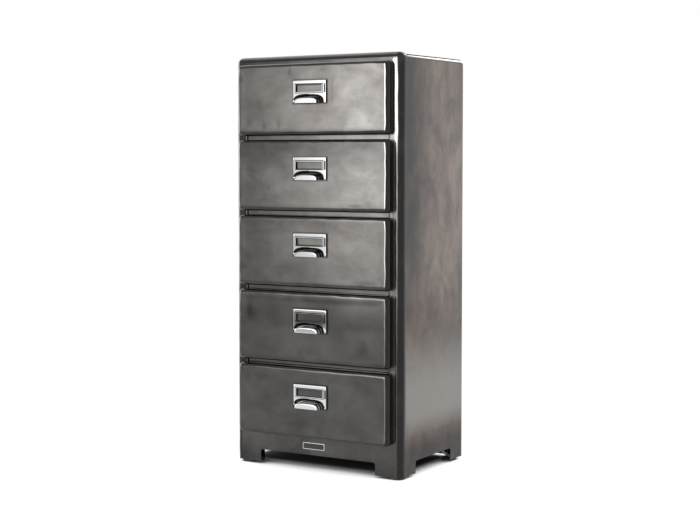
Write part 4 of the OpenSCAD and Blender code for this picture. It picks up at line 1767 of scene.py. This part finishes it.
@dataclass
class Studio:
    """Pale floor, plain surround and soft lamps.

    Attributes:
        floor: Colour of the floor.
        edge: Width of the soft edge of the shade under the chest, inside its outline.
        lean: How far that shade reaches past the outline on the left and at the rear.
        inset: How far the shade stays inside at the front, which is twice as far as on the right.
        deep: Brightness that the floor keeps in that shade.
        size: Width of the floor, in metres, as all its lengths are.
        fill: Brightness of the surround as it lights matt surfaces.
        glow: Brightness that the floor adds where it is looked at and lies open.
        shadow: How near a thing must hang over the floor to take that brightness away.
        lamps: The softboxes and the flags.
        lens: Focal length of the camera, in millimetres.
        stand: X of the camera, its Y from the face of the front frame, and its Z.
        aim: How far the camera looks down and to the left, in degrees.
    """

    floor: str = "#404040"
    edge: float = 0.03
    lean: float = 0.025
    inset: float = 0.045
    deep: float = 0.015
    size: float = 30.0
    fill: float = 0.55
    glow: float = 1.0
    shadow: float = 0.6
    lamps: tuple[Upright, ...] = (
        Softbox("key softbox", (-1.92, -2.5), (0.4, -2.5), 0.0, 2.3, 8.4, (0.95, 0.5, 1.2), -0.25),
        Softbox("rim softbox", (1.63, 1.98), (0.9, 2.6), 0.0, 1.6, 1.8, (0.4, 0.3, 0.3)),
        Softbox("back softbox", (0.8, 2.9), (-0.25, 2.9), 0.0, 3.0, 4.5, (0.4, 0.08, 0.3), 1.65),
        Softbox("left softbox", (-2.6, 0.6), (-2.6, -1.7), 0.0, 1.8, 4.5, (0.4, 0.4, 0.3)),
        Flag("flag", (-0.25, 2.8), (-2.2, 2.8), 1.3, 2.7),
        Flag("flag", (-2.2, -2.45), (-0.8, -2.45), 0.0, 0.1),
    )
    lens: float = 75.851
    stand: tuple[float, float, float] = (1.6898, -2.687, 0.675)
    aim: tuple[float, float] = (3.171, 30.853)

    def seen(self, add: Adder) -> bpy.types.Node:
        """Adds what is 1 for camera, mirror and glass rays and 0 for others.

        Args:
            add: Adds a node to the tree.

        Returns:
            The node that gives it.
        """
        path = add("LightPath").outputs
        looked = {0: path["Is Camera Ray"], 1: path["Is Glossy Ray"]}
        first = add("Math", looked, operation="MAXIMUM")
        return add("Math", {0: first, 1: path["Is Transmission Ray"]}, operation="MAXIMUM")

    def surround(self) -> None:
        """Sets the world: white where it is seen, and a plain fill for matt surfaces."""
        world = bpy.data.worlds.new("surround")
        world.use_nodes = True
        world.node_tree.nodes.clear()
        add = partial(add_node, world.node_tree)
        strength = add("MapRange", {"Value": self.seen(add), "To Min": self.fill, "To Max": 1.0})
        back = add("Background", {"Color": (1.0, 1.0, 1.0, 1.0), "Strength": strength})
        add("OutputWorld", {"Surface": back})
        bpy.context.scene.world = world

    def under(self, add: Adder) -> bpy.types.Node:
        """Adds the shade under the chest, a rectangle with a soft edge.

        It is a smooth step of the distance from the rectangle: the length of what is left of
        the way from its middle, in X and in Y, past its half sizes.

        Args:
            add: Adds a node to the tree.

        Returns:
            The node that gives the floor's brightness.
        """
        low, high = (np.array(corner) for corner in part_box("body_shell"))
        low = np.array([low[0] - self.lean, FACE_Y + self.inset, 0.0])
        high = high + [-self.inset / 2, self.lean, 0.0]
        middle = (low + high) / 2 * [1.0, 1.0, 0.0]
        half = np.array([high[0] - middle[0] - self.edge, high[1] - middle[1] - self.edge, 1.0])
        place = add("TexCoord").outputs["Object"]
        place = add("VectorMath", {0: place, 1: tuple(middle)}, operation="SUBTRACT")
        place = add("VectorMath", {0: place}, operation="ABSOLUTE")
        place = add("VectorMath", {0: place, 1: tuple(half)}, operation="SUBTRACT")
        place = add("VectorMath", {0: place, 1: (0.0, 0.0, 0.0)}, operation="MAXIMUM")
        away = add("VectorMath", {0: place}, operation="LENGTH")
        return add(
            "MapRange", {"Value": away, "From Max": self.edge, "To Min": self.deep},
            interpolation_type="SMOOTHSTEP",
        )

    def paint(self, tree: bpy.types.NodeTree) -> bpy.types.Node:
        """Adds the floor's matt paint and its glow, which keeps the chest's soft shadow.

        Args:
            tree: The material's tree.

        Returns:
            The shader.
        """
        add = partial(add_node, tree)
        open_air = add("AmbientOcclusion", {"Distance": self.shadow}, samples=8).outputs["AO"]
        clear = add(
            "MapRange",
            {"Value": open_air, "From Min": 0.05, "From Max": 0.45, "To Max": self.glow},
            interpolation_type="SMOOTHSTEP",
        )
        lit = add("Math", {0: self.seen(add), 1: clear}, operation="MULTIPLY")
        strength = add("Math", {0: lit, 1: self.under(add)}, operation="MULTIPLY")
        matt = add("BsdfDiffuse", {"Color": linear(self.floor)})
        return add("AddShader", {0: matt, 1: add("Emission", {"Strength": strength})})

    def camera(self) -> None:
        """Sets the camera, which looks down on the chest's right-hand side from the front."""
        data = bpy.data.cameras.new("camera")
        data.lens = self.lens
        data.sensor_width = 36.0
        data.shift_y = -0.03
        data.clip_end = 100.0
        camera = bpy.data.objects.new("camera", data)
        camera.location = (self.stand[0], FACE_Y + self.stand[1], self.stand[2])
        camera.rotation_euler = (math.radians(90 - self.aim[0]), 0.0, math.radians(self.aim[1]))
        bpy.context.scene.collection.objects.link(camera)
        bpy.context.scene.camera = camera

    def build(self) -> None:
        """Sets up the whole studio."""
        bpy.context.scene.view_settings.view_transform = "Standard"
        self.surround()
        h = self.size / 2
        corners = np.array([[-h, -h, 0], [h, -h, 0], [h, h, 0], [-h, h, 0]])
        panel("floor", corners, material_of("Painted floor", self.paint))
        for lamp in self.lamps:
            lamp.hang()
        self.camera()


# ---------- Whole chest ----------


def main() -> None:
    """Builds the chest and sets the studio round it."""
    logging.basicConfig(level=logging.INFO, format="%(message)s")
    # Burnished with a waxed pad: cloudy satin grey, with painted shade and reflections dark in the
    # rolled edges
    steel = BurnishedSteel().material()
    # The same sheet, tinted by heat and thinly lacquered: warmer and less glossy
    tinted = BurnishedSteel(
        "Burnished mild steel, heat tinted", middle="#564c47", bright="#665b54", warm="#57483f",
        patch=36.0, depth=0.64, streak=(1.0, 1.0, 0.6), lacquer=0.2,
    ).material()
    # Rolled sheet as it comes from the mill: pale satin with a faint mottle
    bare = PlainMetal(
        "Bare cold-rolled steel", "#7d7b78", "#93918d", 9.0, 0.34, 0.14, 0.02
    ).material()
    # Electroplated: brighter, with a finer mottle
    zinc = PlainMetal("Zinc plated steel", "#9a9a96", "#b4b3ae", 5.0, 0.3, 0.15, 0.02).material()
    # Polished before it is plated: nearly a mirror, painted black in corners and on edges as shade
    # and dark reflections
    chrome = PlainMetal(
        "Polished chrome plate", "#cfcfcf", "#d8d8d8", 14.0, 0.05, 0.03, 0.002
    ).material()
    # Moulded: black and half matt, with paler scuffs
    nylon = DarkPolymer("Black moulded nylon", "#161616", "#2a2a29", 1.5, 0.5, 1.53).material()
    # Moulded: black and matt
    rubber = DarkPolymer("Black rubber", "#121211", "#1e1d1c", 2.0, 0.75, 1.52).material()
    # Stoved: black and glossy
    enamel = DarkPolymer("Black stoved enamel", "#161616", "#232221", 6.0, 0.3, 1.5).material()

    dress(FrontFrame().build(), CABINET, "burnished_steel", [steel], "front_frame")
    dress(BodyShell().build(), CABINET, "burnished_steel", [tinted], "body_shell")
    for n in range(1, 5):
        dress(Rail(n).build(), CABINET, "burnished_steel", [steel], f"rail_{n}")
    dress(Badge().build(), CABINET, "chrome", [chrome, enamel], "badge")
    for n, wear in WEAR.items():
        body = f"drawer_{n}"
        front = DrawerFront(n, wear)
        dress(front.build(), body, "burnished_steel", [steel], f"{body}_front")
        pull = Pull(n, wear.tarnish)
        dress(pull.build(), body, "chrome", [chrome], f"{body}_pull")
        dress(Rivets(n).build(), body, "chrome", [chrome], f"{body}_pull_rivets")

    kept = {
        "back_panel": steel, "floor_panel": steel, "leg_gussets": bare, "glide_nuts": zinc,
        "back_screws": zinc, "glide": nylon, "runners": zinc, "liner": steel, "tray": bare,
        "slides": zinc, "buffers": rubber,
    }
    for name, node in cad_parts.items():
        if node.hide_render:
            continue
        finish = next(kept[key] for key in kept if key in name)
        node.data.materials.clear()
        node.data.materials.append(finish)
        log.info("%s: %s", name, finish.name)

    Studio().build()
    sizes = {"cad": CAD_BOUNDS, "visual": [list(corner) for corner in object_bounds()]}
    {key: [[float(v) for v in c] for c in box] for key, box in sizes.items()}


if __name__ == "__main__":
    main()
